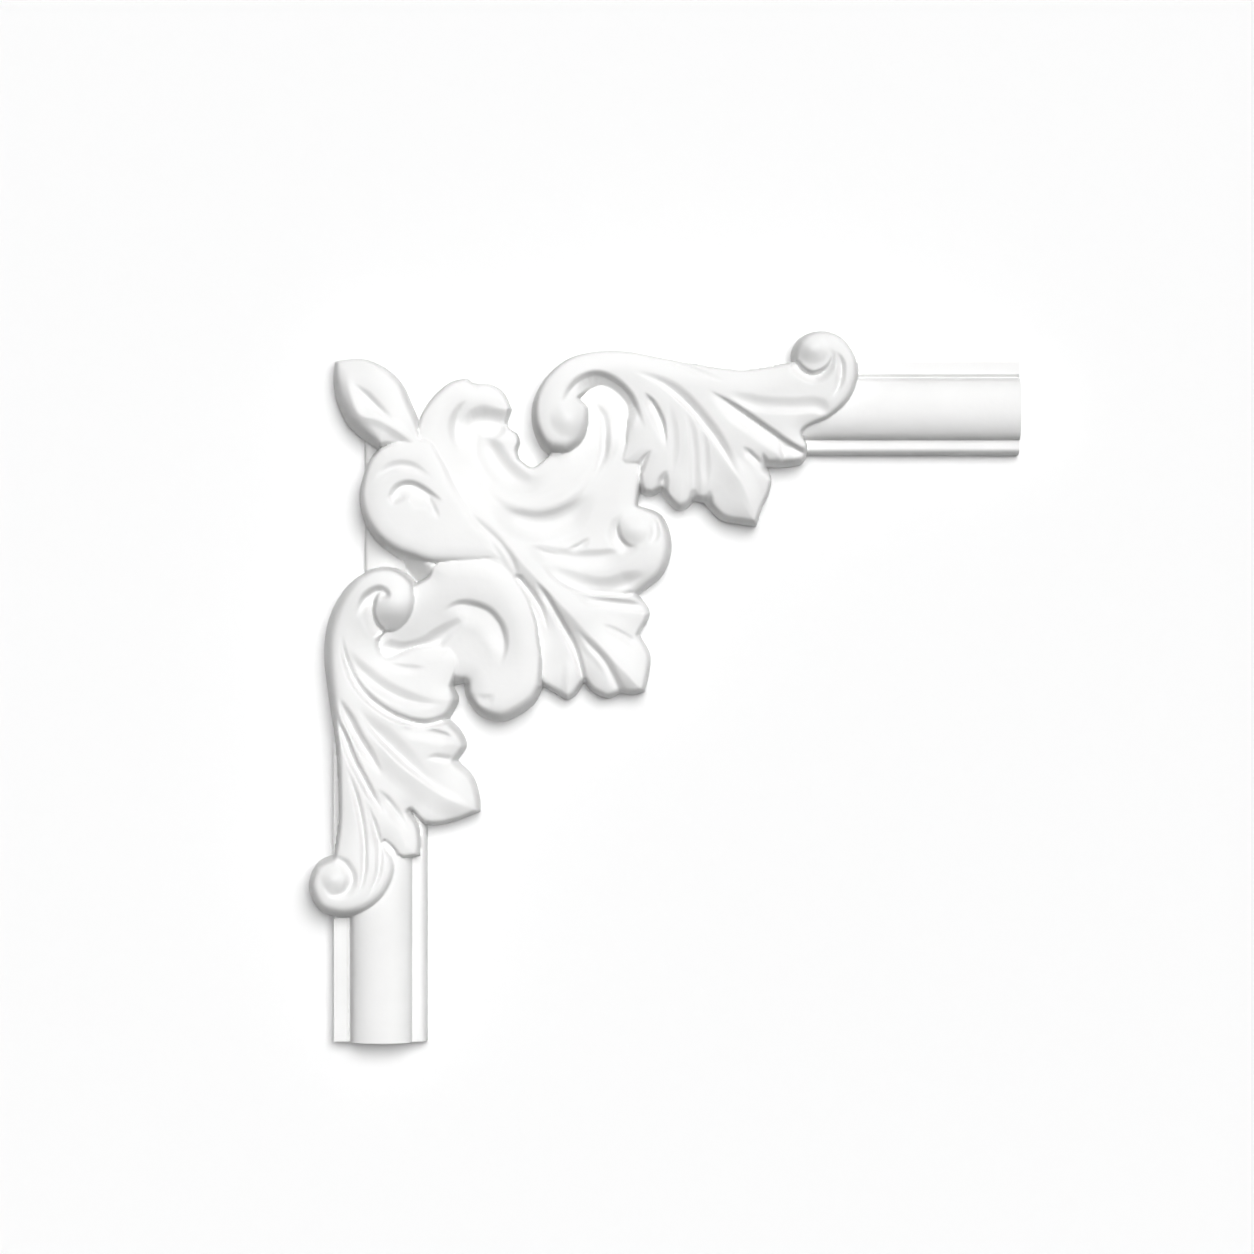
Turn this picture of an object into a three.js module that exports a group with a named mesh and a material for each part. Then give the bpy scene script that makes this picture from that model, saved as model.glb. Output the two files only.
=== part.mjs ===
// Moulding corner: a cast corner of panel moulding, with an acanthus and shell relief that
// covers the meeting of two straight mouldings. It is one casting, flat behind.
// Millimetres, +Z up. The wall is the plane Y = 0, the face looks to -Y and X runs right.
// The origin is on the wall, where the centre lines of the two mouldings cross.
import * as THREE from "three";

// Driving sizes of the two mouldings, in millimetres
const ARM_LENGTH_RIGHT = 295; // outer corner to the right-hand end
const ARM_LENGTH_DOWN = 292.5; // outer corner to the lower end
const MOULDING_WIDTH = 40;
const OUTER_FILLET_WIDTH = 5.6;
const INNER_FILLET_WIDTH = 4.1;
const QUIRK_WIDTH = 1.9; // the small groove between the outer fillet and the torus
const QUIRK_DEPTH = 1.7;
const SIDE_WIDTH = 2.4; // the rounded inner side
const FILLET_HEIGHT = 7.7;
const TORUS_HEIGHT = 15.5;
const INNER_EDGE_HEIGHT = 1.3;
const TORUS_FULLNESS = 2.2; // 2 is an ellipse, more is fuller

// The ornament is drawn on a sheet of square units, x to the right and y down.
// One number scales it: the width between its two outer curls.
const ORNAMENT_WIDTH = 237;
const ORNAMENT_WIDTH_IN_UNITS = 551.5;
const UNIT = ORNAMENT_WIDTH / ORNAMENT_WIDTH_IN_UNITS;
const AXIS_X = 380; // centre line of the lower moulding on the sheet
const AXIS_Y = 408; // centre line of the right-hand moulding on the sheet
const HIDDEN_START_RIGHT = 690; // the mouldings begin under the leaves
const HIDDEN_START_DOWN = 700;
const FOOT = 6; // upright edge of the ornament at the wall, in units
const EDGE_FULLNESS = 4; // how full the rounded edges are: 2 is a quarter round, more is squarer
const CROWN_DROP = 5; // units by which a layer's top sinks toward its outline
const CROWN_WIDTH = 24; // units from the outline over which it sinks
const END_WIDTH = 0.45; // share of a stroke's width that is left where it fades out
const SHARP_SHOULDER = 1.2; // how full the two slopes of a sharp stroke are
const FAR_WEIGHT = 1e-9; // what is still felt of a height far out of its reach

// Fineness of the faceted solid
const GRID_STEP = 2; // units between the points where the form is measured
const OUTLINE_TOLERANCE = 0.35; // units
const EDGE_START = 1.2; // units inside the outline at which an outline point's edge rises
const FRONT_POINTS = 3600;
const OUTLINE_CLEARANCE = 1.4; // units between the outline and the first points inside it
const FRONT_TOLERANCE = 0.35; // units
const HEIGHT_TOLERANCE = 0.5; // units, along the outline
const HEIGHT_SAMPLE_SPACING = 0.7; // units, along the outline
const SECTION_SPACING = 45; // units between the sections repeated along a moulding
const TORUS_SHARES = [0.02, 0.08, 0.2, 0.35, 0.5, 0.65, 0.8, 0.92, 0.98];
const REFINING_SHARE = 0.05; // share of the waiting triangles that get a point in one pass
const SAME_HEIGHT = 1e-6; // units
const ON_LINE = 1e-9; // twice the area, in square units, that counts as nothing
const ON_CIRCLE = 1e-7;

// The ornament's layers, each drawn as an outline of smooth arcs that meet in corners, with points
// [x, y] or [x, y, width of the rounded edge]. Heights [x, y, height] shape its top, and strokes
// cut or raise it. A layer's edge is the usual width of its edge, and its reach is how far a height
// is felt. Everything here is in units.
const stroke = (points, left, right, rise, form, fadeIn, fadeOut) =>
  ({ points, left, right, rise, form, fadeIn, fadeOut });

const ornament = [
  {
    // Low strip of the lower moulding behind the scrolls
    edge: 3,
    reach: 26,
    arcs: [
      [[364, 436], [404, 436]],
      [[404, 580]],
      [[364, 600]],
      [[364, 436]],
    ],
    heights: [[384, 500, 13]],
  },
  {
    // Web that closes the dark pit between the scrolls
    edge: 2,
    reach: 26,
    arcs: [
      [[404, 556], [436, 560]],
      [[440, 584]],
      [[404, 592]],
      [[404, 556]],
    ],
    heights: [[420, 572, 44]],
    strokes: [
      stroke([[396, 564], [410, 578], [426, 594]], 26, 10, -38, "sharp", 0, 0),
    ],
  },
  {
    // Shell, its basin and the leaf below it
    edge: 7,
    reach: 18,
    arcs: [
      [
        [450, 520], [424, 475], [416, 445], [417, 425], [422, 411], [431, 397, 9], [450, 381, 8],
        [466, 377, 6],
      ],
      [[474, 382, 6], [490, 383, 6], [503, 391, 6], [511.5, 408, 5]],
      [[507, 424, 5], [511, 429, 4]],
      [[517, 433, 4], [519.5, 442, 4], [517, 450, 4], [519, 458, 4]],
      [[532, 466.5, 4], [549, 455, 3]],
      [[560, 420, 3], [575, 390, 3], [605, 380, 3], [640, 410, 6], [643, 470, 8], [638, 505, 6]],
      [[661, 514, 10], [672, 542, 12], [664, 573, 12], [639, 595, 9]],
      [[650, 612, 7], [640, 635, 7]],
      [[650.5, 655, 7], [649, 675, 7], [645, 692, 8]],
      [[633, 695, 9], [621, 693.5, 9]],
      [[608, 698.5, 9], [592, 692, 9], [584, 683, 9]],
      [[574, 697, 9], [567, 700, 9], [556, 694, 9], [543, 687, 9]],
      [[515, 640], [490, 590], [450, 520]],
    ],
    heights: [
      [436, 415, 39], [436, 450, 43], [448, 474, 46], [464, 500, 47], [484, 530, 46], [504, 558, 45],
      [452, 390, 38], [480, 388, 34], [500, 396, 34], [480, 404, 34], [500, 408, 32], [480, 424, 25],
      [497, 428, 25], [476, 440, 27], [492, 440, 26], [463, 466, 36], [512, 440, 35], [520, 460, 37],
      [535, 472, 37], [498, 460, 27], [518, 484, 29], [558, 462, 33], [545, 486, 33], [487, 482, 36],
      [520, 500, 37], [550, 500, 37], [582, 490, 36], [598, 440, 32], [596, 412, 31], [618, 450, 34],
      [620, 480, 36], [632, 490, 34], [540, 528, 34], [580, 520, 35], [610, 515, 36], [545, 562, 40],
      [600, 560, 37], [640, 560, 40], [657, 530, 40], [640, 515, 38], [618, 535, 33], [600, 590, 35],
      [630, 605, 31], [620, 640, 31], [635, 665, 30], [600, 675, 30], [560, 640, 32], [560, 680, 27],
      [520, 560, 44], [480, 515, 45], [560, 603, 40], [610, 655, 34],
    ],
    strokes: [
      stroke([
        [470, 399], [461, 409], [456, 424], [456, 440], [462, 454],
      ], 12, 8, -4.5, "sharp", 0.45, 0.5),
      stroke([[462, 431], [475, 423], [490, 423], [508, 430]], 18, 16, -8.5, "soft", 0.5, 0.2),
      stroke([[470, 378], [476, 386], [474, 396]], 4, 4, -1.5, "soft", 0, 0.6),
      stroke([
        [482, 426], [490, 450], [506, 473], [528, 484], [550, 478],
      ], 16, 16, -7, "soft", 0.3, 0.5),
      stroke([
        [485, 478], [500, 495], [525, 507], [550, 506], [575, 492], [592, 470],
      ], 12, 10, 3, "soft", 0.3, 0.3),
      stroke([
        [492, 506], [513, 519], [541, 524], [567, 517], [595, 494],
      ], 13, 20, -4.5, "soft", 0.3, 0.3),
      stroke([
        [594, 402], [603, 420], [604, 446], [598, 468], [588, 487],
      ], 7, 5, -3, "soft", 0.2, 0.5),
      stroke([[611, 420], [612, 445], [606, 470]], 8, 8, 2.5, "soft", 0.4, 0.6),
      stroke([[566, 550], [578, 547], [591, 537]], 4, 7, -2.5, "sharp", 0.4, 0.4),
      stroke([
        [527, 544], [545, 553], [570, 557], [605, 557], [638, 548],
      ], 9, 14, -3.5, "soft", 0.2, 0.3),
      stroke([[530, 546], [545, 553], [562, 556]], 4, 6, -2, "sharp", 0.4, 0.5),
      stroke([
        [540, 560], [556, 574], [580, 586], [612, 589], [646, 573],
      ], 14, 8, -4.5, "soft", 0.2, 0.2),
      stroke([
        [545, 566], [557, 579], [580, 591], [608, 594], [638, 593],
      ], 5, 4, -3, "sharp", 0.3, 0.1),
      stroke([[572, 592], [592, 600], [620, 604], [646, 607]], 6, 8, -4, "soft", 0.3, 0),
      stroke([[600, 624], [618, 632], [638, 644]], 5, 8, -3, "sharp", 0.4, 0.2),
      stroke([[632, 530], [634, 530]], 16, 16, 4, "soft", 0, 0),
      stroke([
        [624, 513], [617, 524], [618, 538], [627, 547], [641, 547],
      ], 6, 12, -5.5, "sharp", 0.5, 0.4),
      stroke([[646, 514], [654, 523], [655, 535], [649, 546]], 6, 6, -3, "soft", 0.4, 0.3),
      stroke([
        [478, 515], [503, 541], [520, 560], [560, 603], [600, 646], [640, 688],
      ], 40, 18, 6, "sharp", 0.3, 0),
      stroke([
        [456, 504], [480, 525], [500, 542], [512, 559], [519, 578],
      ], 7, 6, -2, "sharp", 0.4, 0.2),
      stroke([[515, 574], [532, 595], [541, 610], [549, 634]], 6, 6, -5.5, "sharp", 0.1, 0.4),
      stroke([
        [535, 580], [548, 600], [562, 625], [575, 650], [584, 684],
      ], 6, 6, -5, "sharp", 0.2, 0),
      stroke([[575, 628], [590, 645], [605, 662], [619, 690]], 8, 6, -3.5, "sharp", 0.4, 0),
      stroke([[566, 655], [570, 678], [567, 700]], 9, 9, 2, "soft", 0.5, 0),
    ],
  },
  {
    // Scroll below the shell
    edge: 7,
    reach: 20,
    arcs: [
      [
        [400, 592], [411, 586, 5], [420, 581, 5], [429, 575, 5], [432, 566, 5], [450, 555, 5],
        [500, 560, 5], [516, 575, 6], [528, 592, 6], [537, 615, 6], [541, 640, 6], [543, 660, 6],
        [543, 686, 10],
      ],
      [[535, 703, 14], [512, 719, 16], [500, 722, 16], [478, 715, 16], [465, 696, 14], [464, 683, 12]],
      [[453, 686, 24]],
      [[430, 688, 24], [390, 672, 14], [374, 650, 8], [378, 620, 8], [400, 592]],
    ],
    heights: [
      [430, 600, 45], [450, 590, 46], [480, 590, 48], [505, 605, 48], [517, 630, 47], [516, 660, 45],
      [518, 690, 44], [495, 704, 44], [475, 630, 36], [460, 640, 35], [485, 652, 36], [452, 658, 34],
      [425, 668, 32], [400, 657, 29], [385, 645, 29], [482, 690, 43], [455, 678, 31], [430, 636, 38],
      [415, 622, 41],
    ],
    strokes: [
      stroke([
        [442, 613], [458, 605], [474, 606], [490, 613], [501, 628], [505, 646], [500, 668],
      ], 7, 24, -5.5, "sharp", 0.3, 0.4),
      stroke([
        [380, 648], [405, 653], [430, 646], [450, 630], [468, 617],
      ], 13, 10, -6, "soft", 0.1, 0.4),
      stroke([[476, 694], [486, 699], [496, 694]], 6, 8, -1.5, "soft", 0.4, 0.4),
    ],
  },
  {
    // Large scroll left of the shell
    edge: 7,
    reach: 24,
    arcs: [
      [
        [380, 447], [369, 460, 8], [361, 480, 10], [358.5, 498, 11], [363, 520, 13], [376, 541, 15],
        [396, 557, 17], [412, 563, 18], [430, 569, 18], [460, 570, 18], [490, 571, 16], [508, 576, 12],
        [519, 579, 8],
      ],
      [
        [527, 570, 10], [512, 545, 24], [490, 510, 30], [468, 480, 30], [447, 455, 14], [432, 440, 6],
        [400, 440, 5], [380, 447],
      ],
    ],
    heights: [
      [375, 490, 44], [412, 508, 52], [400, 530, 50], [440, 530, 50], [480, 540, 48], [510, 562, 44],
      [400, 460, 46], [430, 470, 46], [450, 495, 47], [470, 510, 46],
    ],
    strokes: [
      stroke([
        [375, 485], [384, 474], [398, 467], [415, 469], [434, 480],
      ], 7, 7, -2.5, "soft", 0.4, 0.4),
      stroke([
        [396, 507], [395, 496], [401, 488], [413, 486], [430, 495], [446, 504],
      ], 6, 22, -7, "sharp", 0.15, 0.35),
      stroke([[429, 497], [434, 508], [441, 521]], 5, 6, -2.5, "sharp", 0.2, 0.4),
      stroke([[470, 562], [490, 561], [505, 567], [517, 577]], 4, 10, -4, "sharp", 0.4, 0.1),
      stroke([
        [456, 504], [480, 525], [500, 542], [512, 559], [519, 578],
      ], 7, 6, -2, "sharp", 0.4, 0.2),
      stroke([[478, 515], [503, 541], [520, 560], [530, 571]], 16, 14, 3, "sharp", 0.3, 0),
    ],
  },
  {
    // Leaf bud at the outer corner
    edge: 7,
    reach: 22,
    arcs: [
      [
        [334, 360, 8], [347, 358, 6], [364, 358, 6], [385, 367, 8], [401, 382, 8], [411, 403, 8],
        [419, 424, 6], [428, 458, 4],
      ],
      [[412, 451, 5], [396, 448, 7], [379, 451, 12]],
      [[364, 440, 20], [348, 426, 22], [336, 402, 20], [332, 377, 14], [334, 360, 8]],
    ],
    heights: [[345, 370, 32], [365, 390, 42], [385, 395, 44], [395, 420, 46], [410, 440, 44], [365, 410, 42]],
    strokes: [
      stroke([[352, 383], [366, 396], [380, 410], [398, 425]], 7, 6, -4, "sharp", 0.35, 0.5),
      stroke([
        [347, 372], [352, 395], [362, 416], [380, 421], [403, 435], [424, 455],
      ], 11, 9, 2.5, "sharp", 0.2, 0.3),
    ],
  },
  {
    // Acanthus leaf over the lower moulding, with a scroll at both ends
    edge: 7,
    reach: 24,
    arcs: [
      [
        [416, 584, 8], [421, 600, 14], [418, 617, 15], [410, 629, 14], [398, 636, 12], [387, 635, 8],
        [381, 642, 7], [386, 654, 9], [420, 640, 14], [455, 640, 12],
      ],
      [[462, 660], [453, 686, 6]],
      [[458, 700, 10], [449, 719, 10]],
      [[461, 732, 8], [466, 746, 8], [457, 761, 9]],
      [[472, 776, 7], [479, 797, 7], [480, 812, 7]],
      [[458, 821, 8], [437, 826, 9], [423, 824, 9], [411, 811, 7]],
      [[419, 826, 5], [421, 842, 5], [420, 856, 6]],
      [[403, 859, 8], [391, 850, 7], [386, 842, 6]],
      [
        [394, 852, 8], [398, 868, 10], [394, 886, 13], [383, 903, 16], [365, 915, 18], [340, 919, 19],
        [318, 911, 19], [307.5, 887, 16], [316, 864, 12], [333, 855, 9],
      ],
      [
        [336, 838, 8], [338, 820, 8], [338, 790, 8], [336, 755, 10], [332, 725, 14], [328, 700, 17],
        [323, 655, 20], [326, 625, 20], [335, 602, 18], [348, 584, 14], [363, 573, 9], [380, 567, 7],
        [398, 569, 7], [410, 577, 7], [416, 584, 8],
      ],
    ],
    heights: [
      [395, 600, 52], [370, 582, 50], [345, 610, 46], [350, 640, 44], [350, 670, 44], [370, 660, 40],
      [400, 665, 34], [392, 652, 33], [430, 665, 38], [430, 690, 40], [400, 705, 42], [430, 712, 39],
      [385, 715, 42], [445, 740, 35], [420, 740, 39], [390, 730, 42], [370, 700, 44], [455, 790, 30],
      [430, 800, 32], [440, 780, 35], [400, 760, 41], [400, 790, 39], [355, 720, 44], [345, 700, 44],
      [405, 840, 40], [390, 820, 43], [372, 850, 46], [338, 885, 49], [320, 885, 48], [360, 902, 48],
      [380, 880, 46], [350, 800, 46], [350, 850, 46], [345, 760, 46],
    ],
    strokes: [
      stroke([[394, 598], [380, 591], [366, 600], [357, 620]], 10, 7, -7, "sharp", 0.15, 0.5),
      stroke([[396, 607], [398, 607]], 24, 24, 6, "soft", 0, 0),
      stroke([
        [387, 587], [377, 596], [373, 610], [376, 623], [385, 634],
      ], 5, 12, -9, "sharp", 0.4, 0.1),
      stroke([
        [343, 632], [346, 655], [357, 682], [375, 703], [400, 718], [428, 724], [449, 718],
      ], 7, 6, -7.5, "sharp", 0.3, 0),
      stroke([
        [349, 648], [360, 668], [380, 686], [402, 698], [425, 703], [446, 703],
      ], 12, 9, -5, "sharp", 0.3, 0.4),
      stroke([[385, 662], [405, 668], [428, 668]], 5, 7, -2, "soft", 0.5, 0.4),
      stroke([[400, 728], [425, 730], [455, 738]], 5, 12, -3, "soft", 0.3, 0.2),
      stroke([[448, 759], [435, 757], [425, 759]], 6, 6, -3, "sharp", 0, 0.6),
      stroke([
        [358, 705], [373, 727], [397, 752], [420, 773], [436, 785],
      ], 16, 6, -5, "sharp", 0.4, 0.4),
      stroke([
        [368, 728], [385, 748], [405, 768], [440, 793], [474, 810],
      ], 8, 20, 3.5, "sharp", 0.3, 0.2),
      stroke([
        [340, 696], [350, 720], [361, 741], [373, 759], [385, 776],
      ], 9, 7, -7, "sharp", 0.3, 0.4),
      stroke([
        [336, 708], [345, 735], [353, 757], [362, 775], [373, 795], [389, 816],
      ], 7, 6, -8, "sharp", 0.3, 0.3),
      stroke([[378, 787], [395, 808], [411, 832]], 6, 10, -4, "sharp", 0.3, 0.4),
      stroke([
        [348, 765], [356, 790], [363, 820], [366, 850], [364, 880], [356, 900],
      ], 5, 5, -4, "sharp", 0.3, 0.3),
      stroke([
        [367, 800], [376, 825], [381, 850], [379, 875], [368, 897],
      ], 5, 5, -4, "sharp", 0.3, 0.3),
      stroke([[336, 877], [338, 877]], 14, 14, 4, "soft", 0, 0),
      stroke([
        [334, 854], [347, 863], [354, 877], [347, 891], [333, 893], [325, 883],
      ], 7, 8, -4.5, "sharp", 0.2, 0.5),
    ],
  },
  {
    // Acanthus leaf over the right-hand moulding, with a scroll at both ends
    edge: 7,
    reach: 24,
    arcs: [
      [
        [549, 455, 17], [540, 446, 15], [532, 425, 12], [533, 400, 10], [546, 376, 8], [568, 358, 7],
        [595, 351, 6], [625, 350.5, 6], [655, 356, 5], [690, 363, 4], [740, 370, 4], [768, 367, 4],
        [793, 361.5, 5],
      ],
      [
        [792, 352, 9], [796, 342, 9], [805, 334, 9], [822, 330, 9], [842, 337, 9], [856, 356, 10],
        [859, 376, 11], [853, 398, 12], [843, 411, 12], [828, 421, 8],
      ],
      [[803, 433, 6], [807, 445, 4], [807, 457, 7]],
      [[803, 463, 10], [785, 466.5, 11], [768, 467, 11]],
      [[772, 478, 5], [770, 492, 6], [762, 510, 6], [757, 526, 8]],
      [[742, 524, 9], [722, 520, 10], [711, 510, 10], [704, 502, 10]],
      [[694, 501, 9]],
      [[687, 508, 10], [678, 510, 10], [668, 502, 10], [661, 491, 9]],
      [[651, 496, 9], [641, 492, 9], [637, 478, 8], [637, 467, 7]],
      [[624, 468, 8], [618, 461, 6]],
      [[623, 440, 7], [617, 410, 14], [604, 394, 12], [592, 391.5, 6], [580, 399, 4]],
      [[589, 407, 7], [591, 425, 12], [586, 444, 18], [568, 457, 19], [549, 455, 18]],
    ],
    heights: [
      [568, 415, 54], [545, 400, 51], [560, 372, 51], [600, 360, 50], [600, 386, 43], [614, 398, 42],
      [626, 414, 41], [632, 442, 38], [640, 365, 46], [655, 390, 46], [652, 440, 40], [652, 475, 36],
      [680, 385, 44], [680, 430, 42], [680, 480, 36], [700, 480, 36], [715, 430, 42], [730, 500, 32],
      [755, 480, 36], [740, 450, 42], [760, 380, 46], [720, 372, 46], [700, 395, 44], [750, 415, 46],
      [790, 385, 48], [780, 425, 48], [795, 440, 46], [775, 448, 42], [812, 352, 54], [845, 352, 52],
      [850, 380, 52], [835, 398, 50], [820, 410, 48], [800, 385, 46],
    ],
    strokes: [
      stroke([
        [562, 410], [568, 396], [580, 383], [596, 377], [612, 382], [627, 395], [638, 415], [645, 432],
      ], 6, 26, -6, "sharp", 0.25, 0.3),
      stroke([
        [576, 404], [592, 393], [604, 396], [617, 411], [624, 440],
      ], 22, 6, -14, "soft", 0.35, 0.4),
      stroke([[569, 420], [571, 420]], 20, 20, 5, "soft", 0, 0),
      stroke([
        [793, 361], [800, 371], [812, 377], [825, 371], [831, 359], [825, 348],
      ], 5, 10, -9, "sharp", 0.1, 0.6),
      stroke([[811, 351], [813, 351]], 16, 16, 4, "soft", 0, 0),
      stroke([[834, 352], [840, 366], [838, 386], [829, 402]], 5, 7, -4.5, "sharp", 0.3, 0.4),
      stroke([
        [632, 372], [660, 384], [683, 402], [705, 427], [723, 452], [744, 486],
      ], 11, 5, -6, "sharp", 0.35, 0.4),
      stroke([[662, 361], [690, 370], [728, 384]], 4, 5, -2, "sharp", 0.3, 0.5),
      stroke([
        [707, 391], [735, 409], [765, 430], [790, 447], [806, 455],
      ], 5, 16, -9, "sharp", 0.35, 0),
      stroke([
        [725, 394], [755, 406], [790, 409], [815, 408], [829, 415],
      ], 11, 8, -2.5, "soft", 0.3, 0.1),
      stroke([[741, 447], [756, 461], [770, 474]], 5, 7, -4, "sharp", 0.3, 0),
      stroke([[725, 450], [737, 475], [747, 497], [757, 520]], 16, 28, 4, "sharp", 0.4, 0),
      stroke([[643, 393], [653, 405], [662, 424], [667, 452]], 4, 11, -7, "sharp", 0.25, 0.5),
      stroke([[668, 398], [673, 435], [671, 480]], 7, 7, -1.5, "soft", 0.5, 0.4),
      stroke([[683, 405], [692, 440], [694, 495]], 8, 6, -2, "soft", 0.5, 0),
      stroke([[698, 412], [704, 450], [706, 490]], 6, 6, -1.5, "soft", 0.5, 0.3),
      stroke([[662, 494], [664, 478], [668, 470]], 7, 7, -6, "sharp", 0, 0.6),
      stroke([[640, 470], [644, 460], [652, 450]], 5, 5, -5, "sharp", 0, 0.6),
      stroke([[708, 508], [709, 490]], 6, 6, -5, "sharp", 0, 0.6),
      stroke([[693, 502], [694, 488]], 6, 6, -4, "sharp", 0, 0.6),
      stroke([[766, 470], [761, 452]], 5, 5, -6, "sharp", 0, 0.6),
      stroke([[784, 462], [782, 448], [776, 440]], 5, 10, -4.5, "sharp", 0, 0.5),
    ],
  },
];

// Curves

// A smooth open curve through points [x, y, value]; the value runs along with it.
function smoothPath(points, spacing = 3) {
  const vectors = points.map(([x, y, value = 0]) => new THREE.Vector3(x, y, value));
  const path = [];
  const curve = new THREE.CatmullRomCurve3(vectors, false, "centripetal");
  const spans = vectors.length - 1;
  for (let k = 0; k < spans; k += 1) {
    const length = Math.hypot(vectors[k + 1].x - vectors[k].x, vectors[k + 1].y - vectors[k].y);
    const count = Math.max(1, Math.round(length / spacing));
    for (let i = 0; i < count; i += 1) path.push(curve.getPoint((k + i / count) / spans));
  }
  path.push(vectors[spans].clone());
  return path;
}

// A closed outline of smooth arcs that meet in corners; each point carries the edge radius.
function closedOutline(arcs, edge) {
  const loop = [];
  let last = null;
  for (const arc of arcs) {
    const points = arc.map(([x, y, radius = edge]) => [x, y, radius]);
    const path = smoothPath(last ? [last, ...points] : points);
    loop.push(...path.slice(0, -1));
    last = points[points.length - 1];
  }
  return loop;
}

function boundsOf(path, margin) {
  const xs = path.map((p) => p.x);
  const ys = path.map((p) => p.y);
  return [
    Math.min(...xs) - margin, Math.max(...xs) + margin,
    Math.min(...ys) - margin, Math.max(...ys) + margin,
  ];
}

const within = ([x0, x1, y0, y1], x, y) => x >= x0 && x <= x1 && y >= y0 && y <= y1;

// Distance from a point to a path, the side it is on, how far along, and the value there.
function nearestOn(path, closed, x, y) {
  const spans = closed ? path.length : path.length - 1;
  let best = { squared: Infinity, side: 0, along: 0, value: 0 };
  for (let k = 0; k < spans; k += 1) {
    const a = path[k];
    const b = path[(k + 1) % path.length];
    const dx = b.x - a.x;
    const dy = b.y - a.y;
    const t = THREE.MathUtils.clamp(((x - a.x) * dx + (y - a.y) * dy) / (dx * dx + dy * dy), 0, 1);
    const ex = x - a.x - t * dx;
    const ey = y - a.y - t * dy;
    const squared = ex * ex + ey * ey;
    if (squared < best.squared) {
      best = { squared, side: ex * dy - ey * dx, along: (k + t) / spans, value: a.z + t * (b.z - a.z) };
    }
  }
  return { ...best, distance: Math.sqrt(best.squared) };
}

function isInside(loop, x, y) {
  let inside = false;
  for (let i = 0, j = loop.length - 1; i < loop.length; j = i, i += 1) {
    const a = loop[i];
    const b = loop[j];
    if (a.y > y !== b.y > y && x < ((b.x - a.x) * (y - a.y)) / (b.y - a.y) + a.x) inside = !inside;
  }
  return inside;
}

// Form of the ornament

const roundedRise = (t) => 1 - (1 - THREE.MathUtils.clamp(t, 0, 1)) ** EDGE_FULLNESS;
const strokeForms = {
  sharp: (t) => (1 - t) ** 2 * (1 + SHARP_SHOULDER * t),
  soft: (t) => (1 - t * t) ** 2,
};

// Smooth height between the given heights [x, y, height].
function broadHeight(heights, reach, x, y) {
  let total = 0;
  let weights = 0;
  for (const [px, py, height] of heights) {
    const squared = (x - px) ** 2 + (y - py) ** 2;
    const weight = Math.exp(-squared / (2 * reach * reach)) + FAR_WEIGHT / (1 + squared);
    total += weight * height;
    weights += weight;
  }
  return total / weights;
}

// Height that a stroke adds: full on its path, nothing at its width, faded at its two ends.
function strokeHeight(stroke, x, y) {
  if (!within(stroke.bounds, x, y)) return 0;
  const near = nearestOn(stroke.path, false, x, y);
  const width = near.side >= 0 ? stroke.left : stroke.right;
  if (near.distance >= width) return 0;
  let size = 1;
  if (stroke.fadeIn > 0) size *= THREE.MathUtils.smoothstep(near.along, 0, stroke.fadeIn);
  if (stroke.fadeOut > 0) size *= THREE.MathUtils.smoothstep(1 - near.along, 0, stroke.fadeOut);
  const share = Math.min(1, near.distance / (width * (END_WIDTH + (1 - END_WIDTH) * size)));
  return stroke.rise * size * strokeForms[stroke.form](share);
}

function prepareLayer({ arcs, edge, heights, reach, strokes = [] }) {
  const loop = closedOutline(arcs, edge);
  const prepared = strokes.map((stroke) => {
    const path = smoothPath(stroke.points);
    return { ...stroke, path, bounds: boundsOf(path, Math.max(stroke.left, stroke.right)) };
  });
  return { loop, bounds: boundsOf(loop, 2 * GRID_STEP), heights, reach, strokes: prepared };
}

const layers = ornament.map(prepareLayer);

// Distance inside a layer's outline, and the layer's height there. The edge starts to rise
// at the given distance inside, which is nothing but on the outline itself.
function measureLayer(layer, x, y, edgeStart) {
  const near = nearestOn(layer.loop, true, x, y);
  const depth = isInside(layer.loop, x, y) ? near.distance : -near.distance;
  let top = broadHeight(layer.heights, layer.reach, x, y);
  for (const stroke of layer.strokes) top += strokeHeight(stroke, x, y);
  const margin = 1 - THREE.MathUtils.clamp(depth / CROWN_WIDTH, 0, 1);
  top = Math.max(top - CROWN_DROP * margin * margin, FOOT + 1);
  const height = FOOT + (top - FOOT) * roundedRise(Math.max(depth - edgeStart, 0) / near.value);
  return { depth, height };
}

// The mouldings

const endX = AXIS_X + (ARM_LENGTH_RIGHT - MOULDING_WIDTH / 2) / UNIT;
const endY = AXIS_Y + (ARM_LENGTH_DOWN - MOULDING_WIDTH / 2) / UNIT;

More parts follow.
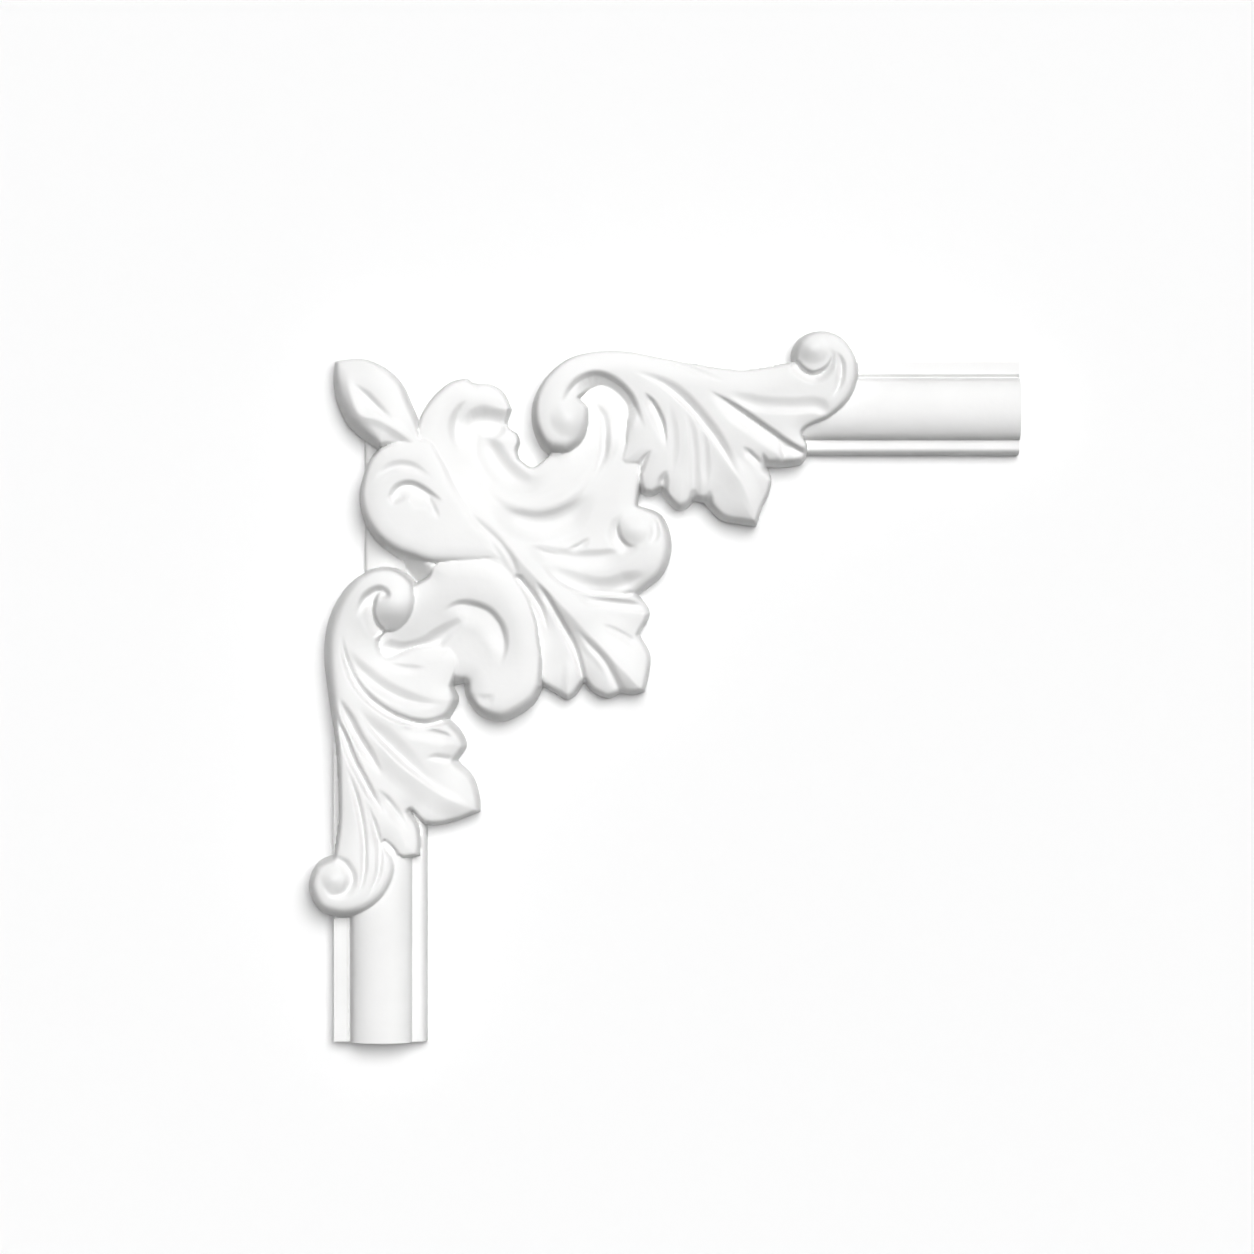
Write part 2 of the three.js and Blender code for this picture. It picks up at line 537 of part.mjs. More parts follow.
// Height of the moulding's section, in millimetres, at a distance from its outer edge.
function mouldingSection(across) {
  const torusStart = OUTER_FILLET_WIDTH + QUIRK_WIDTH;
  const innerStart = MOULDING_WIDTH - SIDE_WIDTH - INNER_FILLET_WIDTH;
  const sideStart = MOULDING_WIDTH - SIDE_WIDTH;
  if (across < OUTER_FILLET_WIDTH) return FILLET_HEIGHT;
  if (across < torusStart) {
    const share = (2 * (across - OUTER_FILLET_WIDTH)) / QUIRK_WIDTH - 1;
    return FILLET_HEIGHT - QUIRK_DEPTH * (1 - Math.abs(share));
  }
  if (across < innerStart) {
    const share = (2 * (across - torusStart)) / (innerStart - torusStart) - 1;
    const rise = (1 - Math.abs(share) ** TORUS_FULLNESS) ** (1 / TORUS_FULLNESS);
    return FILLET_HEIGHT + (TORUS_HEIGHT - FILLET_HEIGHT) * rise;
  }
  if (across < sideStart) return FILLET_HEIGHT;
  const share = Math.min(1, (across - sideStart) / SIDE_WIDTH);
  return INNER_EDGE_HEIGHT + (FILLET_HEIGHT - INNER_EDGE_HEIGHT) * Math.sqrt(1 - share * share);
}

// A moulding as a layer: across its width and along its length, both on the sheet.
function measureMoulding(offset, along, start) {
  const across = offset * UNIT + MOULDING_WIDTH / 2;
  const depth = Math.min(across / UNIT, (MOULDING_WIDTH - across) / UNIT, along - start);
  const clamped = THREE.MathUtils.clamp(across, 0, MOULDING_WIDTH);
  return { depth, height: mouldingSection(clamped) / UNIT };
}

// The whole form: how deep inside the outline a point lies, and its height above the wall.
function measure(x, y, edgeStart = 0) {
  const found = [
    measureMoulding(y - AXIS_Y, x, HIDDEN_START_RIGHT),
    measureMoulding(x - AXIS_X, y, HIDDEN_START_DOWN),
  ];
  for (const layer of layers) {
    if (within(layer.bounds, x, y)) found.push(measureLayer(layer, x, y, edgeStart));
  }
  const depth = Math.max(...found.map((item) => item.depth));
  const reached = found.filter((item) => item.depth >= Math.min(0, depth));
  return { depth, height: Math.max(...reached.map((item) => item.height)) };
}

// Outline of the whole form, from measurements on a grid

const stepsBetween = (start, end) => {
  const values = [];
  for (let value = start; value < end; value += GRID_STEP) values.push(value);
  values.push(end);
  return values;
};
const allBounds = layers.map((layer) => layer.bounds);
const gridX = stepsBetween(Math.min(...allBounds.map((b) => b[0])), endX);
const gridY = stepsBetween(Math.min(...allBounds.map((b) => b[2])), endY);
const grid = gridY.map((y) => gridX.map((x) => measure(x, y)));

// The mouldings are cut square at their ends, so a last row and column lie outside there.
const depthAt = (row, column) => {
  if (row >= gridY.length || column >= gridX.length) return -1;
  return grid[row][column].depth;
};
const gridPoint = (row, column) => [
  gridX[Math.min(column, gridX.length - 1)],
  gridY[Math.min(row, gridY.length - 1)],
];

// Loops along which the depth is zero, with the form on their left-hand side on the sheet.
function traceOutlines() {
  const links = new Map();
  const points = new Map();
  const crossing = (rowA, columnA, rowB, columnB) => {
    const direction = rowA === rowB ? "across" : "down";
    const key = [Math.min(rowA, rowB), Math.min(columnA, columnB), direction].join();
    if (!points.has(key)) {
      const [ax, ay] = gridPoint(rowA, columnA);
      const [bx, by] = gridPoint(rowB, columnB);
      const a = depthAt(rowA, columnA);
      const t = a / (a - depthAt(rowB, columnB));
      points.set(key, new THREE.Vector2(ax + t * (bx - ax), ay + t * (by - ay)));
    }
    return key;
  };
  for (let row = 0; row < gridY.length; row += 1) {
    for (let column = 0; column < gridX.length; column += 1) {
      const corners = [[row, column], [row, column + 1], [row + 1, column + 1], [row + 1, column]];
      const inside = corners.map(([r, c]) => depthAt(r, c) > 0);
      for (let k = 0; k < 4; k += 1) {
        const next = (k + 1) % 4;
        if (inside[k] || !inside[next]) continue;
        let exit = next;
        while (inside[(exit + 1) % 4]) exit = (exit + 1) % 4;
        const entryKey = crossing(...corners[k], ...corners[next]);
        const exitKey = crossing(...corners[exit], ...corners[(exit + 1) % 4]);
        links.set(entryKey, exitKey);
      }
    }
  }
  const loops = [];
  while (links.size > 0) {
    const [start] = links.keys();
    const loop = [];
    let key = start;
    do {
      loop.push(points.get(key));
      const next = links.get(key);
      links.delete(key);
      key = next;
    } while (key !== start);
    loops.push(loop);
  }
  return loops;
}

// Keeps the points of a run that stand more than the tolerance off the straight line.
function simplify(run, tolerance) {
  const first = run[0];
  const last = run[run.length - 1];
  let farthest = 0;
  let at = -1;
  for (let k = 1; k < run.length - 1; k += 1) {
    const t = lineShare(first, last, run[k]);
    const away = run[k].distanceTo(first.clone().lerp(last, t));
    if (away > farthest) {
      farthest = away;
      at = k;
    }
  }
  if (farthest <= tolerance) return [first, last];
  return [...simplify(run.slice(0, at + 1), tolerance).slice(0, -1), ...simplify(run.slice(at), tolerance)];
}

function lineShare(a, b, p) {
  const squared = (b.x - a.x) ** 2 + (b.y - a.y) ** 2;
  if (squared === 0) return 0;
  return THREE.MathUtils.clamp(((p.x - a.x) * (b.x - a.x) + (p.y - a.y) * (b.y - a.y)) / squared, 0, 1);
}

// A vertex on the outline, where the rounded edge hasn't begun to rise.
const makeVertex = (x, y) => ({ x, y, height: measure(x, y, EDGE_START).height });

// Cuts the straight sides of the mouldings where their sections are repeated.
function cutAtSections(a, b) {
  const axis = Math.abs(b.x - a.x) > Math.abs(b.y - a.y) ? "x" : "y";
  const end = axis === "x" ? endX : endY;
  if (Math.abs(b[axis] - a[axis]) < SECTION_SPACING) return [a];
  const shares = [];
  for (let place = end - SECTION_SPACING; place > 0; place -= SECTION_SPACING) {
    const share = (place - a[axis]) / (b[axis] - a[axis]);
    if (share > 0.02 && share < 0.98) shares.push(share);
  }
  shares.sort((s, t) => s - t);
  return [a, ...shares.map((share) => new THREE.Vector2().lerpVectors(a, b, share))];
}

// Points added to an edge until the height between them runs nearly straight.
function cutWhereHeightBends(a, b) {
  const count = Math.ceil(Math.hypot(b.x - a.x, b.y - a.y) / HEIGHT_SAMPLE_SPACING);
  let worst = HEIGHT_TOLERANCE;
  let cut = null;
  for (let k = 1; k < count; k += 1) {
    const share = k / count;
    const vertex = makeVertex(a.x + share * (b.x - a.x), a.y + share * (b.y - a.y));
    const error = Math.abs(vertex.height - a.height - share * (b.height - a.height));
    if (error > worst) {
      worst = error;
      cut = vertex;
    }
  }
  if (!cut) return [a];
  return [...cutWhereHeightBends(a, cut), ...cutWhereHeightBends(cut, b)];
}

// One closed loop of vertices, starting at its top right-hand corner.
function makeLoop(points) {
  const rank = (p) => p.x - p.y;
  const first = points.reduce((best, p, k) => (rank(p) > rank(points[best]) ? k : best), 0);
  const run = [...points.slice(first), ...points.slice(0, first)];
  const distances = run.map((p) => p.distanceTo(run[0]));
  const farthest = distances.indexOf(Math.max(...distances));
  const corners = [
    ...simplify(run.slice(0, farthest + 1), OUTLINE_TOLERANCE).slice(0, -1),
    ...simplify([...run.slice(farthest), run[0]], OUTLINE_TOLERANCE).slice(0, -1),
  ];
  const following = (list, k) => list[(k + 1) % list.length];
  const cut = corners.flatMap((p, k) => cutAtSections(p, following(corners, k)));
  const vertices = cut.map((p) => makeVertex(p.x, p.y));
  return vertices.flatMap((p, k) => cutWhereHeightBends(p, following(vertices, k)));
}

// Triangulation that keeps every triangle's circle empty of other points

const turn = (a, b, p) => (b.x - a.x) * (p.y - a.y) - (b.y - a.y) * (p.x - a.x);

function circleHolds([a, b, c], p) {
  const [ax, ay, bx, by, cx, cy] = [a.x - p.x, a.y - p.y, b.x - p.x, b.y - p.y, c.x - p.x, c.y - p.y];
  const determinant = (ax * ax + ay * ay) * (bx * cy - cx * by)
    - (bx * bx + by * by) * (ax * cy - cx * ay)
    + (cx * cx + cy * cy) * (ax * by - bx * ay);
  return determinant > ON_CIRCLE;
}

class Triangulation {
  constructor(reach) {
    const corners = [{ x: -reach, y: -reach }, { x: 3 * reach, y: -reach }, { x: -reach, y: 3 * reach }];
    this.triangles = new Set();
    this.latest = { corners, neighbours: [null, null, null] };
    this.triangles.add(this.latest);
  }

  // The triangle under a point, found by walking towards it.
  locate(point) {
    let triangle = this.latest;
    for (;;) {
      const { corners } = triangle;
      const side = [0, 1, 2].find((k) => turn(corners[k], corners[(k + 1) % 3], point) < -ON_LINE);
      if (side === undefined) return triangle;
      triangle = triangle.neighbours[side];
    }
  }

  // Adds a point, and returns the triangles that meet at it.
  insert(point, start = this.locate(point)) {
    const cavity = new Set([start]);
    const rim = [];
    for (const triangle of cavity) {
      triangle.neighbours.forEach((other, k) => {
        if (other && circleHolds(other.corners, point)) cavity.add(other);
      });
    }
    for (const triangle of cavity) {
      this.triangles.delete(triangle);
      triangle.neighbours.forEach((other, k) => {
        if (cavity.has(other)) return;
        rim.push({ a: triangle.corners[k], b: triangle.corners[(k + 1) % 3], other, triangle });
      });
    }
    const startingAt = new Map();
    for (const edge of rim) {
      edge.made = { corners: [edge.a, edge.b, point], neighbours: [edge.other, null, null] };
      startingAt.set(edge.a, edge.made);
      if (edge.other) edge.other.neighbours[edge.other.neighbours.indexOf(edge.triangle)] = edge.made;
      this.triangles.add(edge.made);
    }
    for (const { made, b } of rim) {
      made.neighbours[1] = startingAt.get(b);
      startingAt.get(b).neighbours[2] = made;
    }
    this.latest = rim[0].made;
    return rim.map((edge) => edge.made);
  }
}

// The front: outline and sections first, then points wherever the form is farthest from its facets

function sectionSeeds() {
  const innerStart = MOULDING_WIDTH - SIDE_WIDTH - INNER_FILLET_WIDTH;
  const torusStart = OUTER_FILLET_WIDTH + QUIRK_WIDTH;
  const places = [
    OUTER_FILLET_WIDTH, OUTER_FILLET_WIDTH + QUIRK_WIDTH / 2, torusStart,
    innerStart, MOULDING_WIDTH - SIDE_WIDTH, MOULDING_WIDTH - SIDE_WIDTH / 4,
  ];
  for (const share of TORUS_SHARES) places.push(torusStart + share * (innerStart - torusStart));
  const seeds = [];
  const addSeed = (x, y, own) => {
    const found = measure(x, y);
    if (Math.abs(found.height - own.height) < SAME_HEIGHT) seeds.push({ x, y, height: found.height });
  };
  for (const place of places) {
    const offset = (place - MOULDING_WIDTH / 2) / UNIT;
    for (let x = endX - SECTION_SPACING; x > HIDDEN_START_RIGHT; x -= SECTION_SPACING) {
      addSeed(x, AXIS_Y + offset, measureMoulding(offset, x, HIDDEN_START_RIGHT));
    }
    for (let y = endY - SECTION_SPACING; y > HIDDEN_START_DOWN; y -= SECTION_SPACING) {
      addSeed(AXIS_X + offset, y, measureMoulding(offset, y, HIDDEN_START_DOWN));
    }
  }
  return seeds;
}

// The grid point that lies farthest off a triangle, measured square to the triangle.
function farthestOff(triangle) {
  const [a, b, c] = triangle.corners;
  const area = turn(a, b, c);
  if (a.height === undefined || b.height === undefined || c.height === undefined) return null;
  const slopeX = ((b.height - a.height) * (c.y - a.y) - (c.height - a.height) * (b.y - a.y)) / area;
  const slopeY = ((c.height - a.height) * (b.x - a.x) - (b.height - a.height) * (c.x - a.x)) / area;
  const square = 1 / Math.hypot(1, slopeX, slopeY);
  const column0 = Math.max(0, Math.ceil((Math.min(a.x, b.x, c.x) - gridX[0]) / GRID_STEP));
  const row0 = Math.max(0, Math.ceil((Math.min(a.y, b.y, c.y) - gridY[0]) / GRID_STEP));
  const right = Math.max(a.x, b.x, c.x);
  const bottom = Math.max(a.y, b.y, c.y);
  let worst = FRONT_TOLERANCE;
  let found = null;
  for (let row = row0; row < gridY.length && gridY[row] < bottom; row += 1) {
    for (let column = column0; column < gridX.length && gridX[column] < right; column += 1) {
      const sample = grid[row][column];
      if (sample.depth < OUTLINE_CLEARANCE) continue;
      const p = { x: gridX[column], y: gridY[row], height: sample.height };
      if (turn(a, b, p) <= 0 || turn(b, c, p) <= 0 || turn(c, a, p) <= 0) continue;
      const plane = a.height + slopeX * (p.x - a.x) + slopeY * (p.y - a.y);
      const error = Math.abs(p.height - plane) * square;
      if (error > worst) {
        worst = error;
        found = p;
      }
    }
  }
  return found && { point: found, error: worst };
}

function triangulateFront(loops) {
  const triangulation = new Triangulation(10 * (endX + endY));
  const seeds = [...loops.flat(), ...sectionSeeds()];
  for (const vertex of seeds) triangulation.insert(vertex);
  for (const triangle of triangulation.triangles) triangle.worst = farthestOff(triangle);
  let count = seeds.length;
  while (count < FRONT_POINTS) {
    const waiting = [...triangulation.triangles].filter((triangle) => triangle.worst);
    if (waiting.length === 0) break;
    waiting.sort((s, t) => t.worst.error - s.worst.error);
    for (const triangle of waiting.slice(0, Math.ceil(waiting.length * REFINING_SHARE))) {
      if (!triangulation.triangles.has(triangle) || count >= FRONT_POINTS) continue;
      for (const made of triangulation.insert(triangle.worst.point, triangle)) {
        made.worst = farthestOff(made);
      }
      count += 1;
    }
  }
  return triangulation;
}

// The points that each point is joined to by an edge of the triangulation.
function joinedPoints(triangulation) {
  const joined = new Map();
  for (const { corners } of triangulation.triangles) {
    corners.forEach((corner, k) => {
      if (!joined.has(corner)) joined.set(corner, new Set());
      joined.get(corner).add(corners[(k + 1) % 3]);
    });
  }
  return joined;
}

// Splits outline edges until every one of them is an edge of both triangulations.
function keepOutline(triangulations, loops) {
  let added = 1;
  while (added > 0) {
    added = 0;
    const joined = triangulations.map(joinedPoints);
    for (const loop of loops) {
      for (let k = loop.length - 1; k >= 0; k -= 1) {
        const a = loop[k];
        const b = loop[(k + 1) % loop.length];
        if (joined.every((neighbours) => neighbours.get(a).has(b))) continue;
        const middle = makeVertex((a.x + b.x) / 2, (a.y + b.y) / 2);
        for (const triangulation of triangulations) triangulation.insert(middle);
        loop.splice(k + 1, 0, middle);
        added += 1;
      }
    }
  }
}

// The triangles that lie on the form: inside its outline, and not in an opening.
function trianglesOnForm(triangulation, loops) {
  return [...triangulation.triangles].map((triangle) => triangle.corners).filter((corners) => {
    const x = (corners[0].x + corners[1].x + corners[2].x) / 3;
    const y = (corners[0].y + corners[1].y + corners[2].y) / 3;
    return loops.filter((loop) => isInside(loop, x, y)).length % 2 === 1;
  });
}

// One closed body: the front, its upright edges and the flat back
function makeCornerGeometry() {
  const loops = traceOutlines().map(makeLoop);
  const front = triangulateFront(loops);
  const back = new Triangulation(10 * (endX + endY));
  for (const vertex of loops.flat()) back.insert(vertex);
  keepOutline([front, back], loops);

  const positions = [];
  const indices = [];
  const addPosition = (vertex, height) => {
    positions.push((vertex.x - AXIS_X) * UNIT, -height * UNIT, (AXIS_Y - vertex.y) * UNIT);
    return positions.length / 3 - 1;
  };
  const frontPlaces = new Map();
  const frontPlace = (vertex) => {
    if (!frontPlaces.has(vertex)) frontPlaces.set(vertex, addPosition(vertex, vertex.height));
    return frontPlaces.get(vertex);
  };
  const backPlaces = new Map(loops.flat().map((vertex) => [vertex, addPosition(vertex, 0)]));
  for (const [a, b, c] of trianglesOnForm(front, loops)) {
    indices.push(frontPlace(c), frontPlace(b), frontPlace(a));
  }
  for (const corners of trianglesOnForm(back, loops)) {
    indices.push(...corners.map((vertex) => backPlaces.get(vertex)));
  }
  for (const loop of loops) {
    loop.forEach((a, k) => {
      const b = loop[(k + 1) % loop.length];
      const [backA, backB] = [backPlaces.get(a), backPlaces.get(b)];
      indices.push(frontPlace(b), frontPlace(a), backA, frontPlace(b), backA, backB);
    });
  }
  const geometry = new THREE.BufferGeometry();
  geometry.setAttribute("position", new THREE.Float32BufferAttribute(positions, 3));
  geometry.setIndex(indices);
  return geometry;
}

const casting = new THREE.MeshStandardMaterial({ color: 0xf3f2ef, roughness: 0.6, metalness: 0 });
casting.flatShading = true;
const corner = new THREE.Mesh(makeCornerGeometry(), casting);
corner.name = "moulding_corner";

const model = new THREE.Group();
model.add(corner);

export default model;
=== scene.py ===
"""Moulding corner: the fine surface, material, light and camera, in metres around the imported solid."""

import bmesh
import bpy
import numpy as np
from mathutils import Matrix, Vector


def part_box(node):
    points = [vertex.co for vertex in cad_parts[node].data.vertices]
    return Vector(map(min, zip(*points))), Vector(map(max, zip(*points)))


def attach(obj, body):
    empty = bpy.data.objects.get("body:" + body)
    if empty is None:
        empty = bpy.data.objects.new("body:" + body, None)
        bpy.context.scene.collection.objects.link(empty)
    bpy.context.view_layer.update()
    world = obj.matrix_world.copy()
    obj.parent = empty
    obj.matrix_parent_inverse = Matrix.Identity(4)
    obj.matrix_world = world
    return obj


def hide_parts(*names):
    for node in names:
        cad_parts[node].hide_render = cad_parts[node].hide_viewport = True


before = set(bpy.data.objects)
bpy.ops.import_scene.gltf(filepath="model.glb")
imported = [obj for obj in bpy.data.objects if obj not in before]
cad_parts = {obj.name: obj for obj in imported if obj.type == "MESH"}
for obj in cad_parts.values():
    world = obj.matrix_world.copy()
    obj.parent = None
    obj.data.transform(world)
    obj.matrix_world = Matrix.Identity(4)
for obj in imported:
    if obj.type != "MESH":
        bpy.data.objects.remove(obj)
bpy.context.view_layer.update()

NODE = "moulding_corner"
node_low, node_high = [Vector(corner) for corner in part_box(NODE)]

# Sizes of the two straight mouldings, in metres
MOULDING_WIDTH = 0.040
OUTER_FILLET_WIDTH = 0.0056
INNER_FILLET_WIDTH = 0.0041
QUIRK_WIDTH = 0.0019          # the small groove between the outer fillet and the torus
QUIRK_DEPTH = 0.0017
SIDE_WIDTH = 0.0024           # the rounded inner side
FILLET_HEIGHT = 0.0077
TORUS_HEIGHT = 0.0155
INNER_EDGE_HEIGHT = 0.0013
TORUS_FULLNESS = 2.2          # 2 is an ellipse, more is fuller

# The ornament is drawn on a sheet of square units, x to the right and y down, 1254 units wide.
# One size scales it: the width between its two outer curls.
SHEET_SIZE = 1254
ORNAMENT_WIDTH = 0.237
ORNAMENT_WIDTH_IN_UNITS = 551.5
UNIT = ORNAMENT_WIDTH / ORNAMENT_WIDTH_IN_UNITS
AXIS_X = 380                  # centre line of the lower moulding on the sheet
AXIS_Y = 408                  # centre line of the right-hand moulding on the sheet
HIDDEN_START_RIGHT = 690      # the mouldings begin under the leaves
HIDDEN_START_DOWN = 700
FOOT = 6                      # upright edge of the ornament at the wall, in units
EDGE_FULLNESS = 4             # 1 is a straight slope up from the outline, more is fuller
CROWN_DROP = 5                # by how much a layer's top sinks toward its outline
CROWN_WIDTH = 24              # how far inside the outline it starts to sink
LEAST_RISE = 1                # how far a layer's top stays above its foot, even in a deep cut
END_WIDTH = 0.45              # share of a stroke's width that is left where it fades out
SHARP_SHOULDER = 1.2          # how full the two slopes of a sharp stroke are
FAR_WEIGHT = 1e-9             # what is still felt of a height far out of its reach

# Fineness of the surface, in units
CURVE_STEP = 3.0              # about how far apart the points of a smooth curve are
FINE_STEP = 1.32              # spacing of the grid over the ornament
COARSE_STEP = 24              # its spacing along the straight mouldings
ORNAMENT_RIGHT = 864          # past these only the straight mouldings go on
ORNAMENT_BOTTOM = 922
SHEET_MARGIN = 6              # how far the measuring goes past a layer's outline
EDGE_START = 1.2              # on the rim: how deep inside a layer its rounded edge begins
SHARP_ANGLE = np.radians(50)
MERGE_DISTANCE = 0.000002     # in metres

# Material; each pattern is a noise's scale, per metre, and its detail
PRIMER_BRIGHT = (0.848, 0.847, 0.844)
PRIMER_DULL = (0.815, 0.814, 0.811)
TONE_PATTERN = (28, 3)
SPECULAR_LEVEL = 0.35
ROUGHNESS_RANGE = (0.48, 0.62)
ROUGHNESS_PATTERN = (90, 4)
NOISE_RANGE = (0.3, 0.7)      # the noise values that are spread over a whole range
WAVINESS_PATTERN = (120, 2)
WAVINESS_STRENGTH = 0.25
WAVINESS_DEPTH = 0.0006
GRAIN_PATTERN = (1500, 4)
GRAIN_STRENGTH = 0.12
GRAIN_DEPTH = 0.00015

# Stage, light and camera, in metres; the camera looks at the middle of the sheet
WALL_COLOUR = (0.90, 0.90, 0.90)
WALL_ROUGHNESS = 0.9
WALL_SPECULAR_LEVEL = 0.1
WALL_SIZE = 6.0
WALL_GAP = 0.0002             # between the casting's back and the wall
SURROUND_RADIUS = 8.0
SURROUND_SUBDIVISIONS = 3
SURROUND_COLOUR = (0.90, 0.90, 0.90)
MEAN_HEIGHT = 0.0095          # of the relief above the wall
LENS = 100.0                  # focal length and sensor width, in millimetres
SENSOR = 36.0
VIEW_CENTRE = ((SHEET_SIZE / 2 - AXIS_X) * UNIT, 0, (AXIS_Y - SHEET_SIZE / 2) * UNIT)
KEY_FROM = (0.18, -1.0, 0.32)
KEY_ANGLE = np.radians(45)
KEY_STRENGTH = 2.95
FILL_FROM = (0.05, -1.0, 0.15)
FILL_ANGLE = np.radians(90)
FILL_STRENGTH = 0.58
BACK_FROM = (0, 1.0, 0)       # shows the flat back in views from behind the wall
BACK_ANGLE = np.radians(5)
BACK_STRENGTH = 0.6
WORLD_STRENGTH = 0.03
DISPLAY_GAMMA = 0.72

